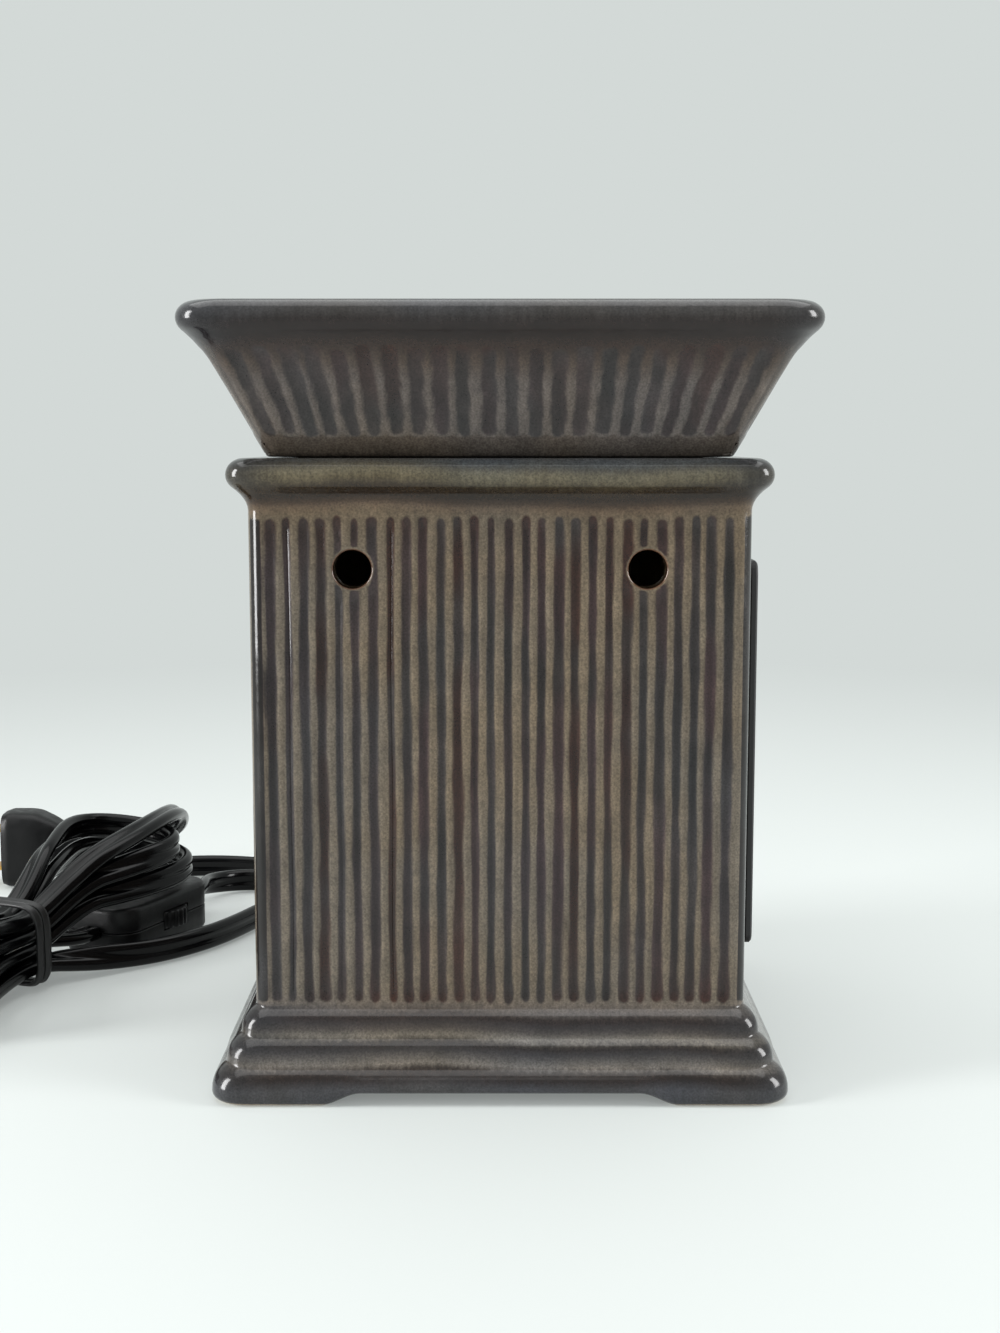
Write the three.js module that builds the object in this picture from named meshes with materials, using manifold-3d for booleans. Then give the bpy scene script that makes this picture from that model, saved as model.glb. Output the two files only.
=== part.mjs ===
// Electric wax warmer: a square glazed ceramic housing with fluted walls, a lift-off wax dish,
// a globe bulb in a candelabra socket, a flat metal plate on one side and a switched mains cord.
// Millimetres, +Z up. The origin is the middle of the footprint, -Y is the side with the open view,
// +X carries the plate and the cord leaves at +Y.
import * as THREE from "three";
import { mergeVertices } from "three/addons/utils/BufferGeometryUtils.js";
import Module from "manifold-3d";

const wasm = await Module();
wasm.setup();

// Clearances
const seat = 0.2; // between parts that rest flat on each other
const fit = 0.35; // around parts that sit in a hole or a pocket

// Housing, half widths measured over the crests of the flutes
const bodyHalf = 55;
const bodyCorner = 4;
const bodyWall = 5;
const baseHalf = 64.4;
const baseHeight = 20;
const baseSteps = 3;
const plinthHeight = 8.4; // lowest step, with the feet
const beadShare = 0.78; // share of a step's rise that swells into its bead
const coveShare = 0.17; // share of a step's rise that draws in its cove
const footRound = 2;
const columnHeight = 110.6;
const rimHalf = 59.4;
const rimHeight = 11.4;
const rimRoll = 3.6;
const mouthHalf = 46;
const mouthCorner = 8;
const mouthLip = 5;
const mouthRound = 1;
const floorBottom = 22;
const floorThickness = 5;
const skirtHalf = 57.4;

// Feet and arches under the base
const footLength = 25.5;
const footOgee = 7;
const archHeight = 2.8;

// Flutes of the housing
const fluteCount = 28;
const flutePitch = 3.7;
const fluteWidth = 2.3;
const fluteDepth = 0.7;
const fluteRound = 0.9;
const fluteEnd = 1; // plain wall left above and below the flutes
const fluteSlope = 0.55; // how far each side of a flute leans out

// Vents, two through each of the walls at -Y and +Y
const ventOffset = 32.1;
const ventHeight = 118;
const ventRadius = 4.3;
const ventFlare = 0.7;
const ventPlain = 2; // plain ring round a vent, where the flutes stop

// Wax dish
const dishHalf = 68.3;
const dishCorner = 8;
const dishBottomCorner = 5;
const dishHeight = 32.8; // seat to rim
const dishRoll = 3.6;
const dishBottomHalf = 51.3;
const dishCoveDrop = 9;
const dishWallTopHalf = 62.1;
const dishWallDrop = 12.6; // rim to the top of the straight wall
const dishWall = 4.8;
const dishFloor = 4.8;
const dishWellRound = 5;
const dishFootDepth = 4;
const dishFootWall = 4.4;
const dishFluteCount = 22;
const dishFluteSpan = 53; // half span of the flute row at mid height
const dishFluteFan = 0.73; // lean of the outermost flutes, as a share of the wall's flare
const dishFluteWidth = 3.5;
const dishFluteDepth = 0.6;
const dishFluteBottom = 4.9;
const dishFluteTop = 22.8;

// Flat plate on the +X side
const plateSize = 88;
const plateThickness = 1.8;
const plateCorner = 3;
const plateCentre = 75;
const plateBevel = 0.4;
const padSize = 78;
const padThickness = 0.5;

// Lamp holder and bulb, on the Z axis
const pipeRadius = 4.8;
const pipeBore = 3.6;
const pipeBelow = 8.5; // pipe end below the housing floor
const washerRadius = 10.5;
const washerThickness = 1.2;
const nutAcross = 15;
const nutHeight = 5;
const socketRadius = 11.5;
const socketHeight = 24;
const socketDeck = 9.5; // deck that parts the pipe hole from the bulb well
const socketDeckThickness = 2;
const socketWireHole = 3;
const screwShellRadius = 7;
const screwShellWall = 0.5;
const contactLength = 10;
const contactWidth = 4;
const contactRise = 1.8;
const contactSheet = 0.5;
const capRadius = 6;
const capWall = 0.5;
const capHeight = 11.5;
const capInsulator = 1.4;
const capTip = 0.6;
const globeRadius = 25;
const globeWall = 0.8;
const neckRadius = 5;
const neckInCap = 4.6;
const neckRise = 10; // cap rim to the foot of the sphere
const stemHeight = 22;
const stemRadius = 3.4;
const stemTip = 1.5;
const filamentWire = 0.45;
const filamentSpan = 7;

// Flat twin cord and its strain relief
const cordWidth = 7;
const cordThickness = 3.6;
const glandHeight = 5.6; // middle of the cord above the table
const glandNeck = [4.2, 3];
const glandFlange = [5.6, 4.6];
const glandFlangeThickness = 2;
const glandTaper = 22;
const innerCord = 5.2;
const innerBend = 10;

// In-line switch with a thumb wheel
const switchLength = 44;
const switchWidth = 24;
const switchHeight = 14.4;
const switchCorner = 7;
const switchBevel = 0.9;
const wheelRadius = 8;
const wheelThickness = 5;
const wheelAlong = 2;
const wheelAcross = -6.4;
const wheelTeeth = 24;
const axleRadius = 1.2;
const axleEnd = 2;
const switchScrewAlong = -12;
const switchScrewHead = [2.6, 1.6];
const switchScrewShank = [1.4, 7.5];

// Plug with two flat blades
const plugLength = 28;
const plugHalf = [12.4, 8];
const plugNose = [5.4, 4];
const bladeLength = 16;
const bladeWidth = 6.35;
const bladeThickness = 1.5;
const bladeGap = 12.7;
const bladeRoot = 4;
const bladeHole = 1.6;

// Hank: dumbbell loops drawn in at the tie, laid on the table beside the housing
const hankCentre = [-131, 23];
const hankTurn = THREE.MathUtils.degToRad(66);
const hankLoops = 3;
const hankReach = 77; // tie to the tip of the lowest loop, towards the switch
const hankReachStep = 7;
const hankBack = 50; // tie to the tips on the other side
const hankBow = 38;
const hankWaist = 3.8; // tie axis to the middle of each strand
const hankWaistHeight = 10.4;
const hankBackHeight = 11.6;
const hankReachHeight = 19;
const hankWaistStep = 4.1;
const hankTipStep = 7.7;
const hankRiseRun = 28; // distance from the tie in which the strands climb over the switch
const hankFanRun = 50; // and in which the layers part
const hankEdgeRun = 60; // and in which the flat strands turn on edge
const hankStart = Math.PI / 2; // the cord joins the first loop in the tie
const hankStop = 1.25; // angle left open where it leaves the last loop
const hankStepsPerLoop = 24;
const tieHalf = [9.8, 10.3];
const tieHeight = 12.6;
const tieStrip = [2.6, 1.1];
const tieTurns = 2;
const tiePitch = 3;

// Places that follow from the sizes above
const columnTop = baseHeight + columnHeight;
const housingTop = columnTop + rimHeight;
const floorTop = floorBottom + floorThickness;
const dishBottom = housingTop + seat;
const dishTop = dishBottom + dishHeight;
const socketFoot = floorTop + seat + washerThickness + seat;
const deckTop = socketFoot + socketDeck;
const tipFoot = deckTop + seat + contactSheet + contactRise + seat;
const capFoot = tipFoot + capTip + seat + capInsulator + seat;
const capTop = capFoot + capHeight;
const globeFootAngle = THREE.MathUtils.degToRad(-68);
const globeCentre = capTop + neckRise - globeRadius * Math.sin(globeFootAngle);
const padInner = bodyHalf + seat;
const plateInner = padInner + padThickness + seat;

// Colours of the finishes
const finish = (color, roughness, metalness = 0, more = {}) =>
  new THREE.MeshStandardMaterial({ color, roughness, metalness, ...more });
const glaze = finish(0x544d47, 0.25);
const dishGlaze = finish(0x47433f, 0.25);
const blackSteel = finish(0x151515, 0.5, 0.6);
const foam = finish(0x2b2b2b, 0.9);
const steel = finish(0xb9bcc0, 0.35, 1);
const brass = finish(0xb89448, 0.35, 1);
const phenolic = finish(0x1d1a18, 0.55);
const clearGlass = finish(0xf4f6f4, 0.05, 0, { transparent: true, opacity: 0.35 });
const tungsten = finish(0x5a5a58, 0.5, 0.9);
const blackGlass = finish(0x101014, 0.2);
const vinyl = finish(0x141414, 0.45);
const tieFinish = finish(0x0e0e0e, 0.6);

const warmer = new THREE.Group();

function toSolid(geometry) {
  // A closed solid: corners are merged by place and triangles without area are dropped.
  let plain = geometry.index ? geometry.toNonIndexed() : geometry.clone();
  for (const name of Object.keys(plain.attributes)) {
    if (name !== "position") plain.deleteAttribute(name);
  }
  plain = mergeVertices(plain, 1e-4);
  const index = plain.index.array;
  const triVerts = [];
  for (let i = 0; i < index.length; i += 3) {
    const [a, b, c] = [index[i], index[i + 1], index[i + 2]];
    if (a !== b && b !== c && c !== a) triVerts.push(a, b, c);
  }
  const vertProperties = new Float32Array(plain.attributes.position.array);
  return new wasm.Manifold(
    new wasm.Mesh({ numProp: 3, vertProperties, triVerts: new Uint32Array(triVerts) }),
  );
}

function toGeometry(solid) {
  const mesh = solid.getMesh();
  const geometry = new THREE.BufferGeometry();
  geometry.setAttribute("position", new THREE.BufferAttribute(mesh.vertProperties, 3));
  geometry.setIndex(new THREE.BufferAttribute(mesh.triVerts, 1));
  return geometry;
}

function cut(geometry, cutters) {
  // The geometry with every cutter taken away.
  let solid = toSolid(geometry);
  for (const cutter of cutters) solid = solid.subtract(toSolid(cutter));
  return toGeometry(solid);
}

function add(name, geometry, material, parent = warmer) {
  const mesh = new THREE.Mesh(toGeometry(toSolid(geometry)), material);
  mesh.name = name;
  parent.add(mesh);
  return mesh;
}

function loftRings(rings) {
  // A closed skin over rings of points, with a fan over the first and the last ring.
  const sides = rings[0].length;
  const corners = rings.flat();
  const middle = (ring) => ring.reduce((sum, p) => sum.add(p), new THREE.Vector3()).divideScalar(sides);
  const first = corners.push(middle(rings[0])) - 1;
  const last = corners.push(middle(rings.at(-1))) - 1;
  const end = (rings.length - 1) * sides;
  const index = [];
  for (let j = 0; j < sides; j++) {
    const k = (j + 1) % sides;
    for (let i = 0; i < end; i += sides) {
      index.push(i + j, i + k, i + sides + k);
      index.push(i + j, i + sides + k, i + sides + j);
    }
    index.push(first, k, j, last, end + j, end + k);
  }
  const geometry = new THREE.BufferGeometry().setFromPoints(corners);
  geometry.setIndex(index);
  return geometry;
}

function squareRing(half, z, corner, cornerSteps = 3) {
  // A square with round corners, counter-clockwise seen from above.
  const ring = [];
  for (let quarter = 0; quarter < 4; quarter++) {
    const turn = (quarter * Math.PI) / 2;
    const toCorner = new THREE.Vector2(half - corner, half - corner).rotateAround(new THREE.Vector2(), turn);
    for (let step = 0; step <= cornerSteps; step++) {
      const angle = turn + (step / cornerSteps) * (Math.PI / 2);
      const round = new THREE.Vector2(Math.cos(angle), Math.sin(angle)).multiplyScalar(corner).add(toCorner);
      ring.push(new THREE.Vector3(round.x, round.y, z));
    }
  }
  return ring;
}

function squareLoft(path, cornerAt, divisions = 2) {
  // A profile of half widths and heights carried round a square with round corners.
  return loftRings(path.getPoints(divisions).map((p) => squareRing(p.x, p.y, cornerAt(p.x, p.y))));
}

function ovalLoft(stations, power, sides) {
  // Oval sections along X: each station is place, half size across and half size up.
  const rings = stations.map(([place, across, up]) =>
    Array.from({ length: sides }, (_, j) => {
      const angle = (j / sides) * 2 * Math.PI;
      const bulge = (value) => Math.sign(value) * Math.abs(value) ** (2 / power);
      return new THREE.Vector3(place, across * bulge(Math.cos(angle)), up * bulge(Math.sin(angle)));
    }),
  );
  return loftRings(rings);
}

function roundOff(path, x, y, radius, from, to, steps) {
  // A round stretch of a profile: even steps on a circle, angles in degrees.
  for (let i = 0; i <= steps; i++) {
    const angle = THREE.MathUtils.degToRad(from + ((to - from) * i) / steps);
    path.lineTo(x + radius * Math.cos(angle), y + radius * Math.sin(angle));
  }
}

function follow(path, curve, steps) {
  // A curved stretch of a profile, in short straight runs.
  for (const p of curve.getPoints(steps)) path.lineTo(p.x, p.y);
}

function turned(path, sides = 16, divisions = 2) {
  // A profile of radii and heights revolved about Z.
  return new THREE.LatheGeometry(path.getPoints(divisions), sides).rotateX(Math.PI / 2);
}

function ringProfile(inner, outer, bottom, top) {
  const path = new THREE.Path().moveTo(inner, bottom);
  return path.lineTo(outer, bottom).lineTo(outer, top).lineTo(inner, top).lineTo(inner, bottom);
}

function rod(radius, bottom, top, sides = 20) {
  const length = top - bottom;
  const cylinder = new THREE.CylinderGeometry(radius, radius, length, sides);
  return cylinder.rotateX(Math.PI / 2).translate(0, 0, bottom + length / 2);
}

function roundedRectangle(width, height, corner) {
  const [x, y] = [width / 2, height / 2];
  const shape = new THREE.Shape().moveTo(x, corner - y);
  shape.absarc(x - corner, y - corner, corner, 0, Math.PI / 2);
  shape.absarc(corner - x, y - corner, corner, Math.PI / 2, Math.PI);
  shape.absarc(corner - x, corner - y, corner, Math.PI, 1.5 * Math.PI);
  shape.absarc(x - corner, corner - y, corner, 1.5 * Math.PI, 2 * Math.PI);
  return shape;
}

function slab(shape, bottom, top, bevel = 0, curveSegments = 3) {
  // An outline extruded along Z, its two rims chamfered by the bevel inside the outline.
  const edge = { bevelEnabled: bevel > 0, bevelThickness: bevel, bevelSize: bevel, bevelOffset: -bevel };
  const settings = { depth: top - bottom - 2 * bevel, bevelSegments: 1, curveSegments, ...edge };
  return new THREE.ExtrudeGeometry(shape, settings).translate(0, 0, bottom + bevel);
}

function fluteCutter(foot, head, outward, width, depth, endRound) {
  // A slot from foot to head, drawn in at its ends, its sides leaning out towards the open face.
  const radius = width / 2 - fluteSlope;
  const tip = head.distanceTo(foot) / 2 - fluteSlope;
  const reach = tip - endRound;
  const slot = new THREE.Shape().moveTo(radius, -reach).lineTo(radius, reach);
  if (endRound > 0) slot.lineTo(0, tip);
  slot.lineTo(-radius, reach).lineTo(-radius, -reach);
  if (endRound > 0) slot.lineTo(0, -tip);
  const bevelThickness = depth + seat;
  const cutter = new THREE.ExtrudeGeometry(slot, {
    depth: 1, bevelThickness, bevelSize: fluteSlope * (1 + seat / depth), bevelSegments: 1,
  });
  const along = head.clone().sub(foot).normalize();
  const across = along.clone().cross(outward).normalize();
  const out = across.clone().cross(along);
  const middle = head.clone().add(foot).divideScalar(2).addScaledVector(out, bevelThickness - depth);
  return cutter.applyMatrix4(new THREE.Matrix4().makeBasis(across, along, out).setPosition(middle));
}

function fourSides(makeSide) {
  // Cutters for the -Y wall, repeated on all four walls by quarter turns.
  return [0, 1, 2, 3].flatMap((quarter) =>
    makeSide(quarter).map((cutter) => cutter.rotateZ((quarter * Math.PI) / 2)));
}

// Housing

function housingProfile() {
  const stepRun = (baseHalf - bodyHalf) / baseSteps;
  const stepRise = (baseHeight - plinthHeight) / (baseSteps - 1);
  const inner = bodyHalf - bodyWall;
  const path = new THREE.Path().moveTo(inner, floorBottom).lineTo(skirtHalf, 0);
  roundOff(path, baseHalf - footRound, footRound, footRound, -90, 0, 2);
  for (let step = 0; step < baseSteps; step++) {
    const half = baseHalf - step * stepRun;
    const top = plinthHeight + step * stepRise;
    const bottom = step === 0 ? footRound : top - stepRise;
    const rise = top - bottom;
    const foot = new THREE.Vector2(half, bottom);
    const head = new THREE.Vector2(half - stepRun, top);
    const swell = new THREE.Vector2(half, bottom + beadShare * rise);
    const draw = new THREE.Vector2(half - stepRun, top - coveShare * rise);
    follow(path, new THREE.CubicBezierCurve(foot, swell, draw, head), 6);
  }
  const rollHalf = rimHalf - rimRoll;
  const rollHeight = housingTop - rimRoll;
  const rollEdge = rimRoll * Math.SQRT1_2;
  const coveTop = rollHeight - rollEdge;
  path.lineTo(bodyHalf, columnTop);
  path.quadraticCurveTo(bodyHalf, (columnTop + coveTop) / 2, rollHalf + rollEdge, coveTop);
  roundOff(path, rollHalf, rollHeight, rimRoll, -45, 0, 2);
  roundOff(path, rollHalf, rollHeight, rimRoll, 0, 90, 3);
  roundOff(path, mouthHalf + mouthRound, housingTop - mouthRound, mouthRound, 90, 180, 2);
  path.lineTo(mouthHalf, housingTop - mouthLip);
  path.lineTo(inner, housingTop - mouthLip - (inner - mouthHalf));
  path.lineTo(inner, floorTop);
  return path;
}

function housingCorner(half, z) {
  // Corner radius in plan: the mouldings open out a little, the mouth has its own.
  if (half < bodyHalf - bodyWall) return mouthCorner;
  const nearMouth = z > housingTop - rimRoll && half < rimHalf - rimRoll;
  return nearMouth ? mouthCorner : bodyCorner + 0.35 * Math.max(half - bodyHalf, 0);
}

function housingFlutes(quarter) {
  const hasVents = quarter % 2 === 0;
  const bottom = baseHeight + fluteEnd;
  const top = columnTop - fluteEnd;
  const plainRing = ventRadius + ventFlare + ventPlain;
  const face = -bodyHalf;
  const outward = new THREE.Vector3(0, -1, 0);
  const cutters = [];
  for (let i = 0; i < fluteCount; i++) {
    const x = (i - (fluteCount - 1) / 2) * flutePitch;
    const fromVent = Math.abs(Math.abs(x) - ventOffset);
    const half = hasVents && fromVent < plainRing ? Math.sqrt(plainRing ** 2 - fromVent ** 2) : 0;
    const stretches = half > 0 ? [[bottom, ventHeight - half], [ventHeight + half, top]] : [[bottom, top]];
    for (const [low, high] of stretches) {
      if (high - low < 2 * fluteWidth) continue;
      const foot = new THREE.Vector3(x, face, low);
      const head = new THREE.Vector3(x, face, high);
      cutters.push(fluteCutter(foot, head, outward, fluteWidth, fluteDepth, fluteRound));
    }
  }
  return cutters;
}

function ventCutters() {
  const half = bodyHalf + 1;
  const path = new THREE.Path().moveTo(0, -half).lineTo(ventRadius + ventFlare + 1, -half);
  path.lineTo(ventRadius, ventFlare - bodyHalf).lineTo(ventRadius, bodyHalf - ventFlare);
  path.lineTo(ventRadius + ventFlare + 1, half).lineTo(0, half);
  return [-1, 1].map((side) =>
    turned(path).rotateX(Math.PI / 2).translate(side * ventOffset, 0, ventHeight));
}

function archCutter() {
  // The gap between two feet, its ends drawn up in an ogee.
  const low = baseHalf - footLength;
  const high = low - footOgee;
  const below = -1;
  const shape = new THREE.Shape().moveTo(-low, below).lineTo(low, below).lineTo(low, 0);
  shape.bezierCurveTo(low - footOgee / 2, 0, low - footOgee / 2, archHeight, high, archHeight);
  shape.lineTo(-high, archHeight);
  shape.bezierCurveTo(footOgee / 2 - low, archHeight, footOgee / 2 - low, 0, -low, 0);
  const depth = 2 * baseHalf + 2;
  const settings = { depth, bevelEnabled: false, curveSegments: 5 };
  return new THREE.ExtrudeGeometry(shape, settings).rotateX(Math.PI / 2).translate(0, depth / 2, 0);
}

function cordNotch() {
  const half = glandNeck[0] + fit;
  const top = glandHeight + glandNeck[1] + fit;
  const shape = new THREE.Shape().moveTo(-half, -1).lineTo(half, -1).lineTo(half, top - 1);
  shape.quadraticCurveTo(half, top, half - 1, top).lineTo(1 - half, top);
  shape.quadraticCurveTo(-half, top, -half, top - 1);
  const depth = baseHalf - floorBottom;
  const settings = { depth, bevelEnabled: false, curveSegments: 2 };
  return new THREE.ExtrudeGeometry(shape, settings).rotateX(Math.PI / 2).translate(0, baseHalf + 2, 0);
}

const housing = cut(squareLoft(housingProfile(), housingCorner), [
  ...fourSides(housingFlutes),
  ...ventCutters(),
  archCutter(),
  archCutter().rotateZ(Math.PI / 2),
  cordNotch(),
  rod(pipeRadius + fit, floorBottom - 1, floorTop + 1),
]);
add("housing", housing, glaze);

// Wax dish

const dishSlope = (dishWallTopHalf - dishBottomHalf) / (dishHeight - dishWallDrop);

function dishProfile() {
  const footHalf = mouthHalf - 3 * seat;
  const wallTop = dishTop - dishWallDrop;
  const rollHalf = dishHalf - dishRoll;
  const rollHeight = dishTop - dishRoll;
  const coveHeight = dishTop - dishCoveDrop;
  const coveHalf = dishWallTopHalf + dishSlope * (coveHeight - wallTop);
  const acrossWall = dishWall * Math.hypot(1, dishSlope);
  const wellFloor = dishBottom + dishFloor;
  const innerHalf = (z) => dishBottomHalf + dishSlope * (z - dishBottom) - acrossWall;
  const path = new THREE.Path().moveTo(footHalf - dishFootWall, dishBottom);
  path.lineTo(footHalf - dishFootWall, dishBottom - dishFootDepth);
  path.lineTo(footHalf, dishBottom - dishFootDepth);
  path.lineTo(footHalf, dishBottom).lineTo(dishBottomHalf - 1, dishBottom);
  path.quadraticCurveTo(dishBottomHalf, dishBottom, dishBottomHalf + dishSlope, dishBottom + 1);
  path.lineTo(dishWallTopHalf, wallTop);
  const rollEdge = dishRoll * Math.SQRT1_2;
  path.quadraticCurveTo(coveHalf, coveHeight, rollHalf + rollEdge, rollHeight - rollEdge);
  roundOff(path, rollHalf, rollHeight, dishRoll, -45, 0, 2);
  roundOff(path, rollHalf, rollHeight, dishRoll, 0, 180, 6);
  const wellTop = wellFloor + dishWellRound;
  path.lineTo(innerHalf(wellTop), wellTop);
  path.quadraticCurveTo(innerHalf(wellFloor), wellFloor, innerHalf(wellFloor) - dishWellRound, wellFloor);
  return path;
}

function dishFlutes() {
  const [bottom, top] = [dishBottom + dishFluteBottom, dishBottom + dishFluteTop];
  const halfAt = (z) => dishBottomHalf + dishSlope * (z - dishBottom);
  const middle = (bottom + top) / 2;
  const outward = new THREE.Vector3(0, -1, -dishSlope).normalize();
  return Array.from({ length: dishFluteCount }, (_, i) => {
    const share = (2 * i) / (dishFluteCount - 1) - 1;
    const lean = dishFluteFan * dishSlope * share * Math.abs(share);
    const place = (z) => new THREE.Vector3(share * dishFluteSpan + lean * (z - middle), -halfAt(z), z);
    return fluteCutter(place(bottom), place(top), outward, dishFluteWidth, dishFluteDepth, 0);
  });
}

function dishCornerAt(half) {
  // Corner radius in plan: the foot and the floor of the well follow the mouth of the housing.
  if (half < mouthHalf) return mouthCorner;
  return Math.min(dishCorner, dishBottomCorner + 0.2 * Math.max(half - dishBottomHalf, 0));
}

add("wax_dish", cut(squareLoft(dishProfile(), dishCornerAt), fourSides(dishFlutes)), dishGlaze);

// Plate on the +X side, bonded to the crests of the flutes by a foam pad

function onPlateSide(geometry) {
  // A slab drawn flat, stood up against the +X wall.
  return geometry.rotateZ(Math.PI / 2).rotateY(Math.PI / 2).translate(0, 0, plateCentre);
}

const padShape = roundedRectangle(padSize, padSize, plateCorner);
add("plate_pad", onPlateSide(slab(padShape, padInner, padInner + padThickness)), foam);
const plateShape = roundedRectangle(plateSize, plateSize, plateCorner);
const plateSlab = slab(plateShape, plateInner, plateInner + plateThickness, plateBevel);
add("display_plate", onPlateSide(plateSlab), blackSteel);

// Lamp holder

const pipeFoot = floorBottom - pipeBelow;
const pipeTop = socketFoot + socketDeck - socketDeckThickness - seat;
add("lamp_pipe", turned(ringProfile(pipeBore, pipeRadius, pipeFoot, pipeTop)), steel);

const holeRadius = pipeRadius + fit;
const washerFoot = floorTop + seat;
const upperWasher = ringProfile(holeRadius, washerRadius, washerFoot, washerFoot + washerThickness);
add("upper_washer", turned(upperWasher), steel);
const lowerWasherTop = floorBottom - seat;
const lowerWasher = ringProfile(holeRadius, washerRadius, lowerWasherTop - washerThickness, lowerWasherTop);
add("lower_washer", turned(lowerWasher), steel);

const nutTop = lowerWasherTop - washerThickness - seat;
const nutBlank = rod(nutAcross / 2 / Math.cos(Math.PI / 6), nutTop - nutHeight, nutTop, 6);
add("lock_nut", cut(nutBlank, [rod(holeRadius, nutTop - nutHeight - 1, nutTop + 1)]), steel);

function socketProfile() {
  const [foot, top] = [socketFoot, socketFoot + socketHeight];
  const well = screwShellRadius + fit;
  const path = new THREE.Path().moveTo(holeRadius, foot).lineTo(socketRadius - 1, foot);
  path.lineTo(socketRadius, foot + 1).lineTo(socketRadius, top - 1).lineTo(socketRadius - 1, top);
  path.lineTo(well, top).lineTo(well, deckTop).lineTo(socketWireHole, deckTop);
  path.lineTo(socketWireHole, deckTop - socketDeckThickness);
  path.lineTo(holeRadius, deckTop - socketDeckThickness);
  return path.lineTo(holeRadius, foot);
}

add("socket_body", turned(socketProfile()), phenolic);
const shellFoot = deckTop + seat;
const shellTop = socketFoot + socketHeight - seat;
const shellInner = screwShellRadius - screwShellWall;
add("socket_screw_shell", turned(ringProfile(shellInner, screwShellRadius, shellFoot, shellTop)), brass);

function contactSpring() {
  // A sprung strip that arches up under the tip of the bulb.
  const half = contactLength / 2;
  const shape = new THREE.Shape().moveTo(-half, 0).lineTo(1 - half, 0);
  shape.quadraticCurveTo(0, 2 * contactRise, half - 1, 0).lineTo(half, 0).lineTo(half, contactSheet);
  shape.lineTo(half - 1, contactSheet);
  shape.quadraticCurveTo(0, 2 * contactRise + contactSheet, 1 - half, contactSheet);
  shape.lineTo(-half, contactSheet);
  const settings = { depth: contactWidth, bevelEnabled: false, curveSegments: 8 };
  const strip = new THREE.ExtrudeGeometry(shape, settings).rotateX(Math.PI / 2);
  return strip.translate(0, contactWidth / 2, deckTop + seat);
}

add("socket_contact", contactSpring(), brass);

// Globe bulb, screwed into the socket

function bulbTip() {
  const path = new THREE.Path().moveTo(0, tipFoot);
  path.quadraticCurveTo(2, tipFoot, 2.4, tipFoot + capTip).lineTo(0, tipFoot + capTip);
  return path;
}

function bulbInsulator() {
  const foot = tipFoot + capTip + seat;
  const path = new THREE.Path().moveTo(0, foot).lineTo(2.8, foot);
  return path.lineTo(capRadius - fit, foot + capInsulator).lineTo(0, foot + capInsulator);
}

function bulbGlobe(radius, neck, path) {
  // One side of the glass, from the neck up to the crown.
  const footHalf = radius * Math.cos(globeFootAngle);
  const foot = globeCentre + radius * Math.sin(globeFootAngle);
  path.lineTo(neck, capTop).quadraticCurveTo(neck, (capTop + foot) / 2, footHalf, foot);
  return path.absarc(0, globeCentre, radius, globeFootAngle, Math.PI / 2);
}

function bulbGlass() {
  const foot = capTop - neckInCap;
  const outer = bulbGlobe(globeRadius, neckRadius, new THREE.Path().moveTo(neckRadius, foot));
  const inside = neckRadius - globeWall;
  const inner = bulbGlobe(globeRadius - globeWall, inside, new THREE.Path().moveTo(inside, foot));
  const rim = new THREE.Vector2(neckRadius, foot);
  const points = [...outer.getPoints(4), ...inner.getPoints(4).reverse(), rim];
  return new THREE.LatheGeometry(points, 20).rotateX(Math.PI / 2);
}

function bulbStem() {
  const foot = capTop - neckInCap;
  const path = new THREE.Path().moveTo(0, foot).lineTo(stemRadius, foot);
  path.quadraticCurveTo(stemTip, foot + stemHeight / 2, stemTip, foot + stemHeight - stemTip);
  path.absarc(0, foot + stemHeight - stemTip, stemTip, 0, Math.PI / 2);
  return path;
}

function bulbFilament() {
  // Two supports and the wire between them, as one bent length.
  const foot = capTop - neckInCap + stemHeight + seat;
  const arm = [[0.9, 0.5], [2, 3], [filamentSpan, 12], [4, 14.5]];
  const points = [...arm.map(([x, z]) => [-x, z]), [0, 13.5], ...arm.reverse()];
  const curve = new THREE.CatmullRomCurve3(points.map(([x, z]) => new THREE.Vector3(x, 0, foot + z)));
  const section = new THREE.Shape().absarc(0, 0, filamentWire, 0, 2 * Math.PI);
  return new THREE.ExtrudeGeometry(section, { steps: 20, extrudePath: curve, curveSegments: 3 });
}

const bulb = new THREE.Group();
warmer.add(bulb);
add("bulb_tip", turned(bulbTip(), 16), steel, bulb);
add("bulb_insulator", turned(bulbInsulator(), 16), blackGlass, bulb);
add("bulb_cap", turned(ringProfile(capRadius - capWall, capRadius, capFoot, capTop)), brass, bulb);
add("bulb_glass", bulbGlass(), clearGlass, bulb);
add("bulb_stem", turned(bulbStem(), 12), clearGlass, bulb);
add("bulb_filament", bulbFilament(), tungsten, bulb);

// Cord inside the base, from the strain relief to the socket

const skirtFlare = (skirtHalf - (bodyHalf - bodyWall)) / floorBottom;
const skirtAtGland = skirtHalf - skirtFlare * (glandHeight + glandFlange[1]);
const glandInner = skirtAtGland - fit;
const glandOuter = baseHalf + fit;
const glandEnd = glandOuter + glandFlangeThickness + glandTaper;

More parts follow.
